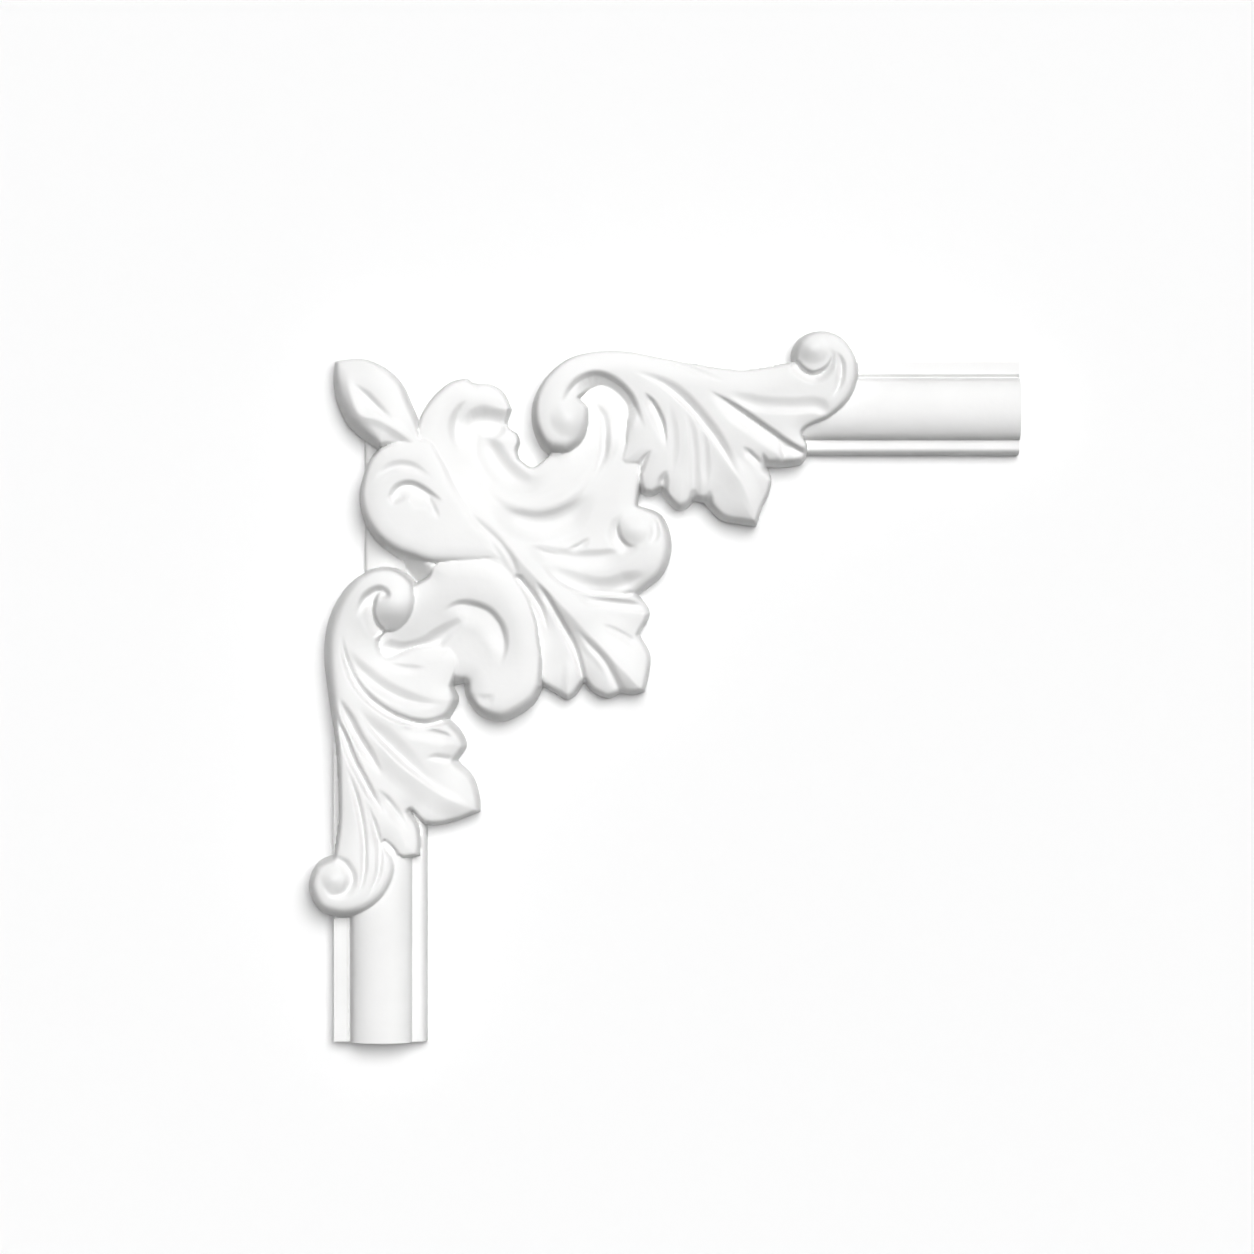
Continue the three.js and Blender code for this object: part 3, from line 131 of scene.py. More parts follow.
# The ornament's layers, each drawn as an outline of smooth arcs that meet in corners: points
# [x, y] or [x, y, width of the rounded edge], where "edge" is the width if none is given.
# Heights [x, y, height] shape the top, and "reach" is how far each is felt. Strokes cut or
# raise it: path, width to the left and right, rise, form, fade in and fade out.
ORNAMENT = [
    # Low strip of the lower moulding behind the scrolls
    {
        "edge": 3,
        "reach": 26,
        "arcs": [
            [[364, 436], [404, 436]],
            [[404, 580]],
            [[364, 600]],
            [[364, 436]],
        ],
        "heights": [[384, 500, 13]],
        "strokes": [],
    },
    # Web that closes the dark pit between the scrolls
    {
        "edge": 2,
        "reach": 26,
        "arcs": [
            [[404, 556], [436, 560]],
            [[440, 584]],
            [[404, 592]],
            [[404, 556]],
        ],
        "heights": [[420, 572, 44]],
        "strokes": [
            ([[396, 564], [410, 578], [426, 594]],
             26, 10, -38, "sharp", 0, 0),
        ],
    },
    # Shell, its basin and the leaf below it
    {
        "edge": 7,
        "reach": 18,
        "arcs": [
            [
              [450, 520], [424, 475], [416, 445], [417, 425], [422, 411], [431, 397, 9], [450, 381, 8],
              [466, 377, 6],
            ],
            [[474, 382, 6], [490, 383, 6], [503, 391, 6], [511.5, 408, 5]],
            [[507, 424, 5], [511, 429, 4]],
            [[517, 433, 4], [519.5, 442, 4], [517, 450, 4], [519, 458, 4]],
            [[532, 466.5, 4], [549, 455, 3]],
            [[560, 420, 3], [575, 390, 3], [605, 380, 3], [640, 410, 6], [643, 470, 8], [638, 505, 6]],
            [[661, 514, 10], [672, 542, 12], [664, 573, 12], [639, 595, 9]],
            [[650, 612, 7], [640, 635, 7]],
            [[650.5, 655, 7], [649, 675, 7], [645, 692, 8]],
            [[633, 695, 9], [621, 693.5, 9]],
            [[608, 698.5, 9], [592, 692, 9], [584, 683, 9]],
            [[574, 697, 9], [567, 700, 9], [556, 694, 9], [543, 687, 9]],
            [[515, 640], [490, 590], [450, 520]],
        ],
        "heights": [
          [436, 415, 39], [436, 450, 43], [448, 474, 46], [464, 500, 47], [484, 530, 46], [504, 558, 45],
          [452, 390, 38], [480, 388, 34], [500, 396, 34], [480, 404, 34], [500, 408, 32], [480, 424, 25],
          [497, 428, 25], [476, 440, 27], [492, 440, 26], [463, 466, 36], [512, 440, 35], [520, 460, 37],
          [535, 472, 37], [498, 460, 27], [518, 484, 29], [558, 462, 33], [545, 486, 33], [487, 482, 36],
          [520, 500, 37], [550, 500, 37], [582, 490, 36], [598, 440, 32], [596, 412, 31], [618, 450, 34],
          [620, 480, 36], [632, 490, 34], [540, 528, 34], [580, 520, 35], [610, 515, 36], [545, 562, 40],
          [600, 560, 37], [640, 560, 40], [657, 530, 40], [640, 515, 38], [618, 535, 33], [600, 590, 35],
          [630, 605, 31], [620, 640, 31], [635, 665, 30], [600, 675, 30], [560, 640, 32], [560, 680, 27],
          [520, 560, 44], [480, 515, 45], [560, 603, 40], [610, 655, 34],
        ],
        "strokes": [
            ([[470, 399], [461, 409], [456, 424], [456, 440], [462, 454]],
             12, 8, -4.5, "sharp", 0.45, 0.5),
            ([[462, 431], [475, 423], [490, 423], [508, 430]],
             18, 16, -8.5, "soft", 0.5, 0.2),
            ([[470, 378], [476, 386], [474, 396]],
             4, 4, -1.5, "soft", 0, 0.6),
            ([[482, 426], [490, 450], [506, 473], [528, 484], [550, 478]],
             16, 16, -7, "soft", 0.3, 0.5),
            ([[485, 478], [500, 495], [525, 507], [550, 506], [575, 492], [592, 470]],
             12, 10, 3, "soft", 0.3, 0.3),
            ([[492, 506], [513, 519], [541, 524], [567, 517], [595, 494]],
             13, 20, -4.5, "soft", 0.3, 0.3),
            ([[594, 402], [603, 420], [604, 446], [598, 468], [588, 487]],
             7, 5, -3, "soft", 0.2, 0.5),
            ([[611, 420], [612, 445], [606, 470]],
             8, 8, 2.5, "soft", 0.4, 0.6),
            ([[566, 550], [578, 547], [591, 537]],
             4, 7, -2.5, "sharp", 0.4, 0.4),
            ([[527, 544], [545, 553], [570, 557], [605, 557], [638, 548]],
             9, 14, -3.5, "soft", 0.2, 0.3),
            ([[530, 546], [545, 553], [562, 556]],
             4, 6, -2, "sharp", 0.4, 0.5),
            ([[540, 560], [556, 574], [580, 586], [612, 589], [646, 573]],
             14, 8, -4.5, "soft", 0.2, 0.2),
            ([[545, 566], [557, 579], [580, 591], [608, 594], [638, 593]],
             5, 4, -3, "sharp", 0.3, 0.1),
            ([[572, 592], [592, 600], [620, 604], [646, 607]],
             6, 8, -4, "soft", 0.3, 0),
            ([[600, 624], [618, 632], [638, 644]],
             5, 8, -3, "sharp", 0.4, 0.2),
            ([[632, 530], [634, 530]],
             16, 16, 4, "soft", 0, 0),
            ([[624, 513], [617, 524], [618, 538], [627, 547], [641, 547]],
             6, 12, -5.5, "sharp", 0.5, 0.4),
            ([[646, 514], [654, 523], [655, 535], [649, 546]],
             6, 6, -3, "soft", 0.4, 0.3),
            ([[478, 515], [503, 541], [520, 560], [560, 603], [600, 646], [640, 688]],
             40, 18, 6, "sharp", 0.3, 0),
            ([[456, 504], [480, 525], [500, 542], [512, 559], [519, 578]],
             7, 6, -2, "sharp", 0.4, 0.2),
            ([[515, 574], [532, 595], [541, 610], [549, 634]],
             6, 6, -5.5, "sharp", 0.1, 0.4),
            ([[535, 580], [548, 600], [562, 625], [575, 650], [584, 684]],
             6, 6, -5, "sharp", 0.2, 0),
            ([[575, 628], [590, 645], [605, 662], [619, 690]],
             8, 6, -3.5, "sharp", 0.4, 0),
            ([[566, 655], [570, 678], [567, 700]],
             9, 9, 2, "soft", 0.5, 0),
        ],
    },
    # Scroll below the shell
    {
        "edge": 7,
        "reach": 20,
        "arcs": [
            [
              [400, 592], [411, 586, 5], [420, 581, 5], [429, 575, 5], [432, 566, 5], [450, 555, 5],
              [500, 560, 5], [516, 575, 6], [528, 592, 6], [537, 615, 6], [541, 640, 6], [543, 660, 6],
              [543, 686, 10],
            ],
            [
              [535, 703, 14], [512, 719, 16], [500, 722, 16], [478, 715, 16], [465, 696, 14],
              [464, 683, 12],
            ],
            [[453, 686, 24]],
            [[430, 688, 24], [390, 672, 14], [374, 650, 8], [378, 620, 8], [400, 592]],
        ],
        "heights": [
          [430, 600, 45], [450, 590, 46], [480, 590, 48], [505, 605, 48], [517, 630, 47], [516, 660, 45],
          [518, 690, 44], [495, 704, 44], [475, 630, 36], [460, 640, 35], [485, 652, 36], [452, 658, 34],
          [425, 668, 32], [400, 657, 29], [385, 645, 29], [482, 690, 43], [455, 678, 31], [430, 636, 38],
          [415, 622, 41],
        ],
        "strokes": [
            ([[442, 613], [458, 605], [474, 606], [490, 613], [501, 628], [505, 646], [500, 668]],
             7, 24, -5.5, "sharp", 0.3, 0.4),
            ([[380, 648], [405, 653], [430, 646], [450, 630], [468, 617]],
             13, 10, -6, "soft", 0.1, 0.4),
            ([[476, 694], [486, 699], [496, 694]],
             6, 8, -1.5, "soft", 0.4, 0.4),
        ],
    },
    # Large scroll left of the shell
    {
        "edge": 7,
        "reach": 24,
        "arcs": [
            [
              [380, 447], [369, 460, 8], [361, 480, 10], [358.5, 498, 11], [363, 520, 13], [376, 541, 15],
              [396, 557, 17], [412, 563, 18], [430, 569, 18], [460, 570, 18], [490, 571, 16],
              [508, 576, 12], [519, 579, 8],
            ],
            [
              [527, 570, 10], [512, 545, 24], [490, 510, 30], [468, 480, 30], [447, 455, 14],
              [432, 440, 6], [400, 440, 5], [380, 447],
            ],
        ],
        "heights": [
          [375, 490, 44], [412, 508, 52], [400, 530, 50], [440, 530, 50], [480, 540, 48], [510, 562, 44],
          [400, 460, 46], [430, 470, 46], [450, 495, 47], [470, 510, 46],
        ],
        "strokes": [
            ([[375, 485], [384, 474], [398, 467], [415, 469], [434, 480]],
             7, 7, -2.5, "soft", 0.4, 0.4),
            ([[396, 507], [395, 496], [401, 488], [413, 486], [430, 495], [446, 504]],
             6, 22, -7, "sharp", 0.15, 0.35),
            ([[429, 497], [434, 508], [441, 521]],
             5, 6, -2.5, "sharp", 0.2, 0.4),
            ([[470, 562], [490, 561], [505, 567], [517, 577]],
             4, 10, -4, "sharp", 0.4, 0.1),
            ([[456, 504], [480, 525], [500, 542], [512, 559], [519, 578]],
             7, 6, -2, "sharp", 0.4, 0.2),
            ([[478, 515], [503, 541], [520, 560], [530, 571]],
             16, 14, 3, "sharp", 0.3, 0),
        ],
    },
    # Leaf bud at the outer corner
    {
        "edge": 7,
        "reach": 22,
        "arcs": [
            [
              [334, 360, 8], [347, 358, 6], [364, 358, 6], [385, 367, 8], [401, 382, 8], [411, 403, 8],
              [419, 424, 6], [428, 458, 4],
            ],
            [[412, 451, 5], [396, 448, 7], [379, 451, 12]],
            [[364, 440, 20], [348, 426, 22], [336, 402, 20], [332, 377, 14], [334, 360, 8]],
        ],
        "heights": [
          [345, 370, 32], [365, 390, 42], [385, 395, 44], [395, 420, 46], [410, 440, 44], [365, 410, 42],
        ],
        "strokes": [
            ([[352, 383], [366, 396], [380, 410], [398, 425]],
             7, 6, -4, "sharp", 0.35, 0.5),
            ([[347, 372], [352, 395], [362, 416], [380, 421], [403, 435], [424, 455]],
             11, 9, 2.5, "sharp", 0.2, 0.3),
        ],
    },
    # Acanthus leaf over the lower moulding, with a scroll at both ends
    {
        "edge": 7,
        "reach": 24,
        "arcs": [
            [
              [416, 584, 8], [421, 600, 14], [418, 617, 15], [410, 629, 14], [398, 636, 12],
              [387, 635, 8], [381, 642, 7], [386, 654, 9], [420, 640, 14], [455, 640, 12],
            ],
            [[462, 660], [453, 686, 6]],
            [[458, 700, 10], [449, 719, 10]],
            [[461, 732, 8], [466, 746, 8], [457, 761, 9]],
            [[472, 776, 7], [479, 797, 7], [480, 812, 7]],
            [[458, 821, 8], [437, 826, 9], [423, 824, 9], [411, 811, 7]],
            [[419, 826, 5], [421, 842, 5], [420, 856, 6]],
            [[403, 859, 8], [391, 850, 7], [386, 842, 6]],
            [
              [394, 852, 8], [398, 868, 10], [394, 886, 13], [383, 903, 16], [365, 915, 18],
              [340, 919, 19], [318, 911, 19], [307.5, 887, 16], [316, 864, 12], [333, 855, 9],
            ],
            [
              [336, 838, 8], [338, 820, 8], [338, 790, 8], [336, 755, 10], [332, 725, 14], [328, 700, 17],
              [323, 655, 20], [326, 625, 20], [335, 602, 18], [348, 584, 14], [363, 573, 9],
              [380, 567, 7], [398, 569, 7], [410, 577, 7], [416, 584, 8],
            ],
        ],
        "heights": [
          [395, 600, 52], [370, 582, 50], [345, 610, 46], [350, 640, 44], [350, 670, 44], [370, 660, 40],
          [400, 665, 34], [392, 652, 33], [430, 665, 38], [430, 690, 40], [400, 705, 42], [430, 712, 39],
          [385, 715, 42], [445, 740, 35], [420, 740, 39], [390, 730, 42], [370, 700, 44], [455, 790, 30],
          [430, 800, 32], [440, 780, 35], [400, 760, 41], [400, 790, 39], [355, 720, 44], [345, 700, 44],
          [405, 840, 40], [390, 820, 43], [372, 850, 46], [338, 885, 49], [320, 885, 48], [360, 902, 48],
          [380, 880, 46], [350, 800, 46], [350, 850, 46], [345, 760, 46],
        ],
        "strokes": [
            ([[394, 598], [380, 591], [366, 600], [357, 620]],
             10, 7, -7, "sharp", 0.15, 0.5),
            ([[396, 607], [398, 607]],
             24, 24, 6, "soft", 0, 0),
            ([[387, 587], [377, 596], [373, 610], [376, 623], [385, 634]],
             5, 12, -9, "sharp", 0.4, 0.1),
            ([[343, 632], [346, 655], [357, 682], [375, 703], [400, 718], [428, 724], [449, 718]],
             7, 6, -7.5, "sharp", 0.3, 0),
            ([[349, 648], [360, 668], [380, 686], [402, 698], [425, 703], [446, 703]],
             12, 9, -5, "sharp", 0.3, 0.4),
            ([[385, 662], [405, 668], [428, 668]],
             5, 7, -2, "soft", 0.5, 0.4),
            ([[400, 728], [425, 730], [455, 738]],
             5, 12, -3, "soft", 0.3, 0.2),
            ([[448, 759], [435, 757], [425, 759]],
             6, 6, -3, "sharp", 0, 0.6),
            ([[358, 705], [373, 727], [397, 752], [420, 773], [436, 785]],
             16, 6, -5, "sharp", 0.4, 0.4),
            ([[368, 728], [385, 748], [405, 768], [440, 793], [474, 810]],
             8, 20, 3.5, "sharp", 0.3, 0.2),
            ([[340, 696], [350, 720], [361, 741], [373, 759], [385, 776]],
             9, 7, -7, "sharp", 0.3, 0.4),
            ([[336, 708], [345, 735], [353, 757], [362, 775], [373, 795], [389, 816]],
             7, 6, -8, "sharp", 0.3, 0.3),
            ([[378, 787], [395, 808], [411, 832]],
             6, 10, -4, "sharp", 0.3, 0.4),
            ([[348, 765], [356, 790], [363, 820], [366, 850], [364, 880], [356, 900]],
             5, 5, -4, "sharp", 0.3, 0.3),
            ([[367, 800], [376, 825], [381, 850], [379, 875], [368, 897]],
             5, 5, -4, "sharp", 0.3, 0.3),
            ([[336, 877], [338, 877]],
             14, 14, 4, "soft", 0, 0),
            ([[334, 854], [347, 863], [354, 877], [347, 891], [333, 893], [325, 883]],
             7, 8, -4.5, "sharp", 0.2, 0.5),
        ],
    },
    # Acanthus leaf over the right-hand moulding, with a scroll at both ends
    {
        "edge": 7,
        "reach": 24,
        "arcs": [
            [
              [549, 455, 17], [540, 446, 15], [532, 425, 12], [533, 400, 10], [546, 376, 8],
              [568, 358, 7], [595, 351, 6], [625, 350.5, 6], [655, 356, 5], [690, 363, 4], [740, 370, 4],
              [768, 367, 4], [793, 361.5, 5],
            ],
            [
              [792, 352, 9], [796, 342, 9], [805, 334, 9], [822, 330, 9], [842, 337, 9], [856, 356, 10],
              [859, 376, 11], [853, 398, 12], [843, 411, 12], [828, 421, 8],
            ],
            [[803, 433, 6], [807, 445, 4], [807, 457, 7]],
            [[803, 463, 10], [785, 466.5, 11], [768, 467, 11]],
            [[772, 478, 5], [770, 492, 6], [762, 510, 6], [757, 526, 8]],
            [[742, 524, 9], [722, 520, 10], [711, 510, 10], [704, 502, 10]],
            [[694, 501, 9]],
            [[687, 508, 10], [678, 510, 10], [668, 502, 10], [661, 491, 9]],
            [[651, 496, 9], [641, 492, 9], [637, 478, 8], [637, 467, 7]],
            [[624, 468, 8], [618, 461, 6]],
            [[623, 440, 7], [617, 410, 14], [604, 394, 12], [592, 391.5, 6], [580, 399, 4]],
            [[589, 407, 7], [591, 425, 12], [586, 444, 18], [568, 457, 19], [549, 455, 18]],
        ],
        "heights": [
          [568, 415, 54], [545, 400, 51], [560, 372, 51], [600, 360, 50], [600, 386, 43], [614, 398, 42],
          [626, 414, 41], [632, 442, 38], [640, 365, 46], [655, 390, 46], [652, 440, 40], [652, 475, 36],
          [680, 385, 44], [680, 430, 42], [680, 480, 36], [700, 480, 36], [715, 430, 42], [730, 500, 32],
          [755, 480, 36], [740, 450, 42], [760, 380, 46], [720, 372, 46], [700, 395, 44], [750, 415, 46],
          [790, 385, 48], [780, 425, 48], [795, 440, 46], [775, 448, 42], [812, 352, 54], [845, 352, 52],
          [850, 380, 52], [835, 398, 50], [820, 410, 48], [800, 385, 46],
        ],
        "strokes": [
            ([
              [562, 410], [568, 396], [580, 383], [596, 377], [612, 382], [627, 395], [638, 415],
              [645, 432],
            ],
             6, 26, -6, "sharp", 0.25, 0.3),
            ([[576, 404], [592, 393], [604, 396], [617, 411], [624, 440]],
             22, 6, -14, "soft", 0.35, 0.4),
            ([[569, 420], [571, 420]],
             20, 20, 5, "soft", 0, 0),
            ([[793, 361], [800, 371], [812, 377], [825, 371], [831, 359], [825, 348]],
             5, 10, -9, "sharp", 0.1, 0.6),
            ([[811, 351], [813, 351]],
             16, 16, 4, "soft", 0, 0),
            ([[834, 352], [840, 366], [838, 386], [829, 402]],
             5, 7, -4.5, "sharp", 0.3, 0.4),
            ([[632, 372], [660, 384], [683, 402], [705, 427], [723, 452], [744, 486]],
             11, 5, -6, "sharp", 0.35, 0.4),
            ([[662, 361], [690, 370], [728, 384]],
             4, 5, -2, "sharp", 0.3, 0.5),
            ([[707, 391], [735, 409], [765, 430], [790, 447], [806, 455]],
             5, 16, -9, "sharp", 0.35, 0),
            ([[725, 394], [755, 406], [790, 409], [815, 408], [829, 415]],
             11, 8, -2.5, "soft", 0.3, 0.1),
            ([[741, 447], [756, 461], [770, 474]],
             5, 7, -4, "sharp", 0.3, 0),
            ([[725, 450], [737, 475], [747, 497], [757, 520]],
             16, 28, 4, "sharp", 0.4, 0),
            ([[643, 393], [653, 405], [662, 424], [667, 452]],
             4, 11, -7, "sharp", 0.25, 0.5),
            ([[668, 398], [673, 435], [671, 480]],
             7, 7, -1.5, "soft", 0.5, 0.4),
            ([[683, 405], [692, 440], [694, 495]],
             8, 6, -2, "soft", 0.5, 0),
            ([[698, 412], [704, 450], [706, 490]],
             6, 6, -1.5, "soft", 0.5, 0.3),
            ([[662, 494], [664, 478], [668, 470]],
             7, 7, -6, "sharp", 0, 0.6),
            ([[640, 470], [644, 460], [652, 450]],
             5, 5, -5, "sharp", 0, 0.6),
            ([[708, 508], [709, 490]],
             6, 6, -5, "sharp", 0, 0.6),
            ([[693, 502], [694, 488]],
             6, 6, -4, "sharp", 0, 0.6),
            ([[766, 470], [761, 452]],
             5, 5, -6, "sharp", 0, 0.6),
            ([[784, 462], [782, 448], [776, 440]],
             5, 10, -4.5, "sharp", 0, 0.5),
        ],
    },
]


# Curves

def smooth_path(points):
    """A smooth open curve through points; a third column, if there, runs along with it."""
    points = np.asarray(points, float)
    if len(points) == 2:
        count = max(1, round(float(np.hypot(*(points[1] - points[0])[:2])) / CURVE_STEP))
        share = (np.arange(count + 1) / count)[:, None]
        return points[0] * (1 - share) + points[1] * share
    padded = np.vstack([2 * points[0] - points[1], points, 2 * points[-1] - points[-2]])
    rows = []
    for k in range(1, len(padded) - 2):
        p0, p1, p2, p3 = padded[k - 1:k + 3]
        t1 = np.hypot(*(p1 - p0)[:2]) ** 0.5
        t2 = t1 + np.hypot(*(p2 - p1)[:2]) ** 0.5
        t3 = t2 + np.hypot(*(p3 - p2)[:2]) ** 0.5
        count = max(1, round(float(np.hypot(*(p2 - p1)[:2])) / CURVE_STEP))
        t = (t1 + (t2 - t1) * np.arange(count) / count)[:, None]
        a1 = (t1 - t) / t1 * p0 + t / t1 * p1
        a2 = (t2 - t) / (t2 - t1) * p1 + (t - t1) / (t2 - t1) * p2
        a3 = (t3 - t) / (t3 - t2) * p2 + (t - t2) / (t3 - t2) * p3
        b1 = (t2 - t) / t2 * a1 + t / t2 * a2
        b2 = (t3 - t) / (t3 - t1) * a2 + (t - t1) / (t3 - t1) * a3
        rows.append((t2 - t) / (t2 - t1) * b1 + (t - t1) / (t2 - t1) * b2)
    rows.append(points[-1:])
    return np.vstack(rows)


def closed_outline(arcs, edge):
    """A closed outline of smooth arcs that meet in corners; each point carries the edge width."""
    rows = []
    last = None
    for arc in arcs:
        points = [list(point) if len(point) == 3 else [*point, edge] for point in arc]
        if last is not None:
            points = [last] + points
        rows.append(smooth_path(points)[:-1])
        last = points[-1]
    rows.append(np.array([last], float))
    return np.vstack(rows)


def nearest_on(path, x, y):
    """Distance to a path, the side (left is positive), how far along, and the value there."""
    squared = np.full(x.shape, np.inf)
    side = np.zeros(x.shape)
    along = np.zeros(x.shape)
    value = np.zeros(x.shape)
    spans = len(path) - 1
    for k in range(spans):
        a, b = path[k], path[k + 1]
        dx, dy = b[0] - a[0], b[1] - a[1]
        length = dx * dx + dy * dy
        if length == 0:
            continue
        t = np.clip(((x - a[0]) * dx + (y - a[1]) * dy) / length, 0, 1)
        ex = x - a[0] - t * dx
        ey = y - a[1] - t * dy
        away = ex * ex + ey * ey
        closer = away < squared
        squared[closer] = away[closer]
        side[closer] = (ex * dy - ey * dx)[closer]
        along[closer] = (k + t[closer]) / spans
        if len(a) > 2:
            value[closer] = a[2] + t[closer] * (b[2] - a[2])
    return np.sqrt(squared), side, along, value


def is_near(path, margin, x, y):
    """Whether each point lies in the box round a path, with a margin."""
    low = path[:, :2].min(0) - margin
    high = path[:, :2].max(0) + margin
    return (x > low[0]) & (x < high[0]) & (y > low[1]) & (y < high[1])


def is_inside(loop, x, y):
    """Whether each point lies inside a closed outline."""
    inside = np.zeros(x.shape, bool)
    for a, b in zip(loop[:-1], loop[1:]):
        if a[1] == b[1]:
            continue
        crosses = (a[1] > y) != (b[1] > y)
        inside ^= crosses & (x < (b[0] - a[0]) * (y - a[1]) / (b[1] - a[1]) + a[0])
    return inside


# Form of the ornament

def smoothstep(t):
    t = np.clip(t, 0, 1)
    return t * t * (3 - 2 * t)


def rounded_rise(t):
    return 1 - (1 - np.clip(t, 0, 1)) ** EDGE_FULLNESS


STROKE_FORMS = {
    "sharp": lambda t: (1 - t) ** 2 * (1 + SHARP_SHOULDER * t),
    "soft": lambda t: (1 - t * t) ** 2,
}


def broad_height(heights, reach, x, y):
    """Smooth height between the given heights [x, y, height]."""
    total = np.zeros(x.shape)
    weights = np.zeros(x.shape)
    for px, py, height in heights:
        squared = (x - px) ** 2 + (y - py) ** 2
        weight = np.exp(-squared / (2 * reach * reach)) + FAR_WEIGHT / (1 + squared)
        total += weight * height
        weights += weight
    return total / weights


def add_stroke(top, x, y, points, left, right, rise, form, fade_in, fade_out):
    """Adds a stroke: full on its path, nothing at its width, faded at its two ends."""
    path = smooth_path(points)
    near = is_near(path, max(left, right), x, y)
    if not near.any():
        return
    distance, side, along, _ = nearest_on(path, x[near], y[near])
    size = np.ones(distance.shape)
    if fade_in:
        size *= smoothstep(along / fade_in)
    if fade_out:
        size *= smoothstep((1 - along) / fade_out)
    width = np.where(side >= 0, left, right)
    share = np.clip(distance / (width * (END_WIDTH + (1 - END_WIDTH) * size)), 0, 1)
    top[near] += rise * size * STROKE_FORMS[form](share)


def measure_layer(layer, x, y, edge_start):
    """How deep inside a layer's outline the points lie, and its height there."""
    loop = closed_outline(layer["arcs"], layer["edge"])
    distance, _, _, radius = nearest_on(loop, x, y)
    depth = np.where(is_inside(loop, x, y), distance, -distance)
    top = broad_height(layer["heights"], layer["reach"], x, y)
    for args in layer["strokes"]:
        add_stroke(top, x, y, *args)
    margin = 1 - np.clip(depth / CROWN_WIDTH, 0, 1)
    top = np.maximum(top - CROWN_DROP * margin * margin, FOOT + LEAST_RISE)
    rise = rounded_rise(np.maximum(depth - edge_start, 0) / radius)
    return depth, FOOT + (top - FOOT) * rise


# The mouldings

END_X = AXIS_X + node_high.x / UNIT     # their ends on the sheet, from the solid's box
END_Y = AXIS_Y - node_low.z / UNIT


def moulding_section(across):
    """Height of the moulding's section, in metres, at a distance from its outer edge."""
    torus_start = OUTER_FILLET_WIDTH + QUIRK_WIDTH
    side_start = MOULDING_WIDTH - SIDE_WIDTH
    inner_start = side_start - INNER_FILLET_WIDTH
    height = np.full(across.shape, FILLET_HEIGHT)
    quirk = 1 - np.abs(2 * (across - OUTER_FILLET_WIDTH) / QUIRK_WIDTH - 1)
    height -= QUIRK_DEPTH * np.clip(quirk, 0, 1)
    share = np.abs(2 * (across - torus_start) / (inner_start - torus_start) - 1)
    rise = np.maximum(1 - share ** TORUS_FULLNESS, 0) ** (1 / TORUS_FULLNESS)
    height += (TORUS_HEIGHT - FILLET_HEIGHT) * rise
    share = np.clip((across - side_start) / SIDE_WIDTH, 0, 1)
    return height - (FILLET_HEIGHT - INNER_EDGE_HEIGHT) * (1 - np.sqrt(1 - share * share))


def measure_moulding(offset, along, start):
    """Depth inside a moulding and height there, at an offset from its centre line."""
    across = offset * UNIT + MOULDING_WIDTH / 2
    depth = np.minimum(np.minimum(across, MOULDING_WIDTH - across) / UNIT, along - start)
    return depth, moulding_section(np.clip(across, 0, MOULDING_WIDTH)) / UNIT


def measure(x, y, edge_start=0.0):
    """Depth inside the whole outline and height above the wall, both in units, at many points."""
    found = [
        measure_moulding(y - AXIS_Y, x, HIDDEN_START_RIGHT),
        measure_moulding(x - AXIS_X, y, HIDDEN_START_DOWN),
    ]
    for layer in ORNAMENT:
        near = is_near(closed_outline(layer["arcs"], layer["edge"]), SHEET_MARGIN, x, y)
        depth = np.full(x.shape, -np.inf)
        height = np.zeros(x.shape)
        if near.any():
            depth[near], height[near] = measure_layer(layer, x[near], y[near], edge_start)
        found.append((depth, height))
    depth = np.max([item[0] for item in found], axis=0)
    limit = np.minimum(depth, 0)
    height = np.max([np.where(item[0] >= limit, item[1], 0) for item in found], axis=0)
    return depth, height


# The fine mesh

def steps_between(start, end, step):
    count = int(np.ceil((end - start) / step))
    return np.linspace(start, end, count + 1)


def grid_lines(start, ornament_end, end):
    """Fine lines over the ornament, coarse ones along the straight moulding."""
    fine = steps_between(start, ornament_end, FINE_STEP)
    coarse = steps_between(ornament_end, end, COARSE_STEP)
    return np.concatenate([fine, coarse[1:]])


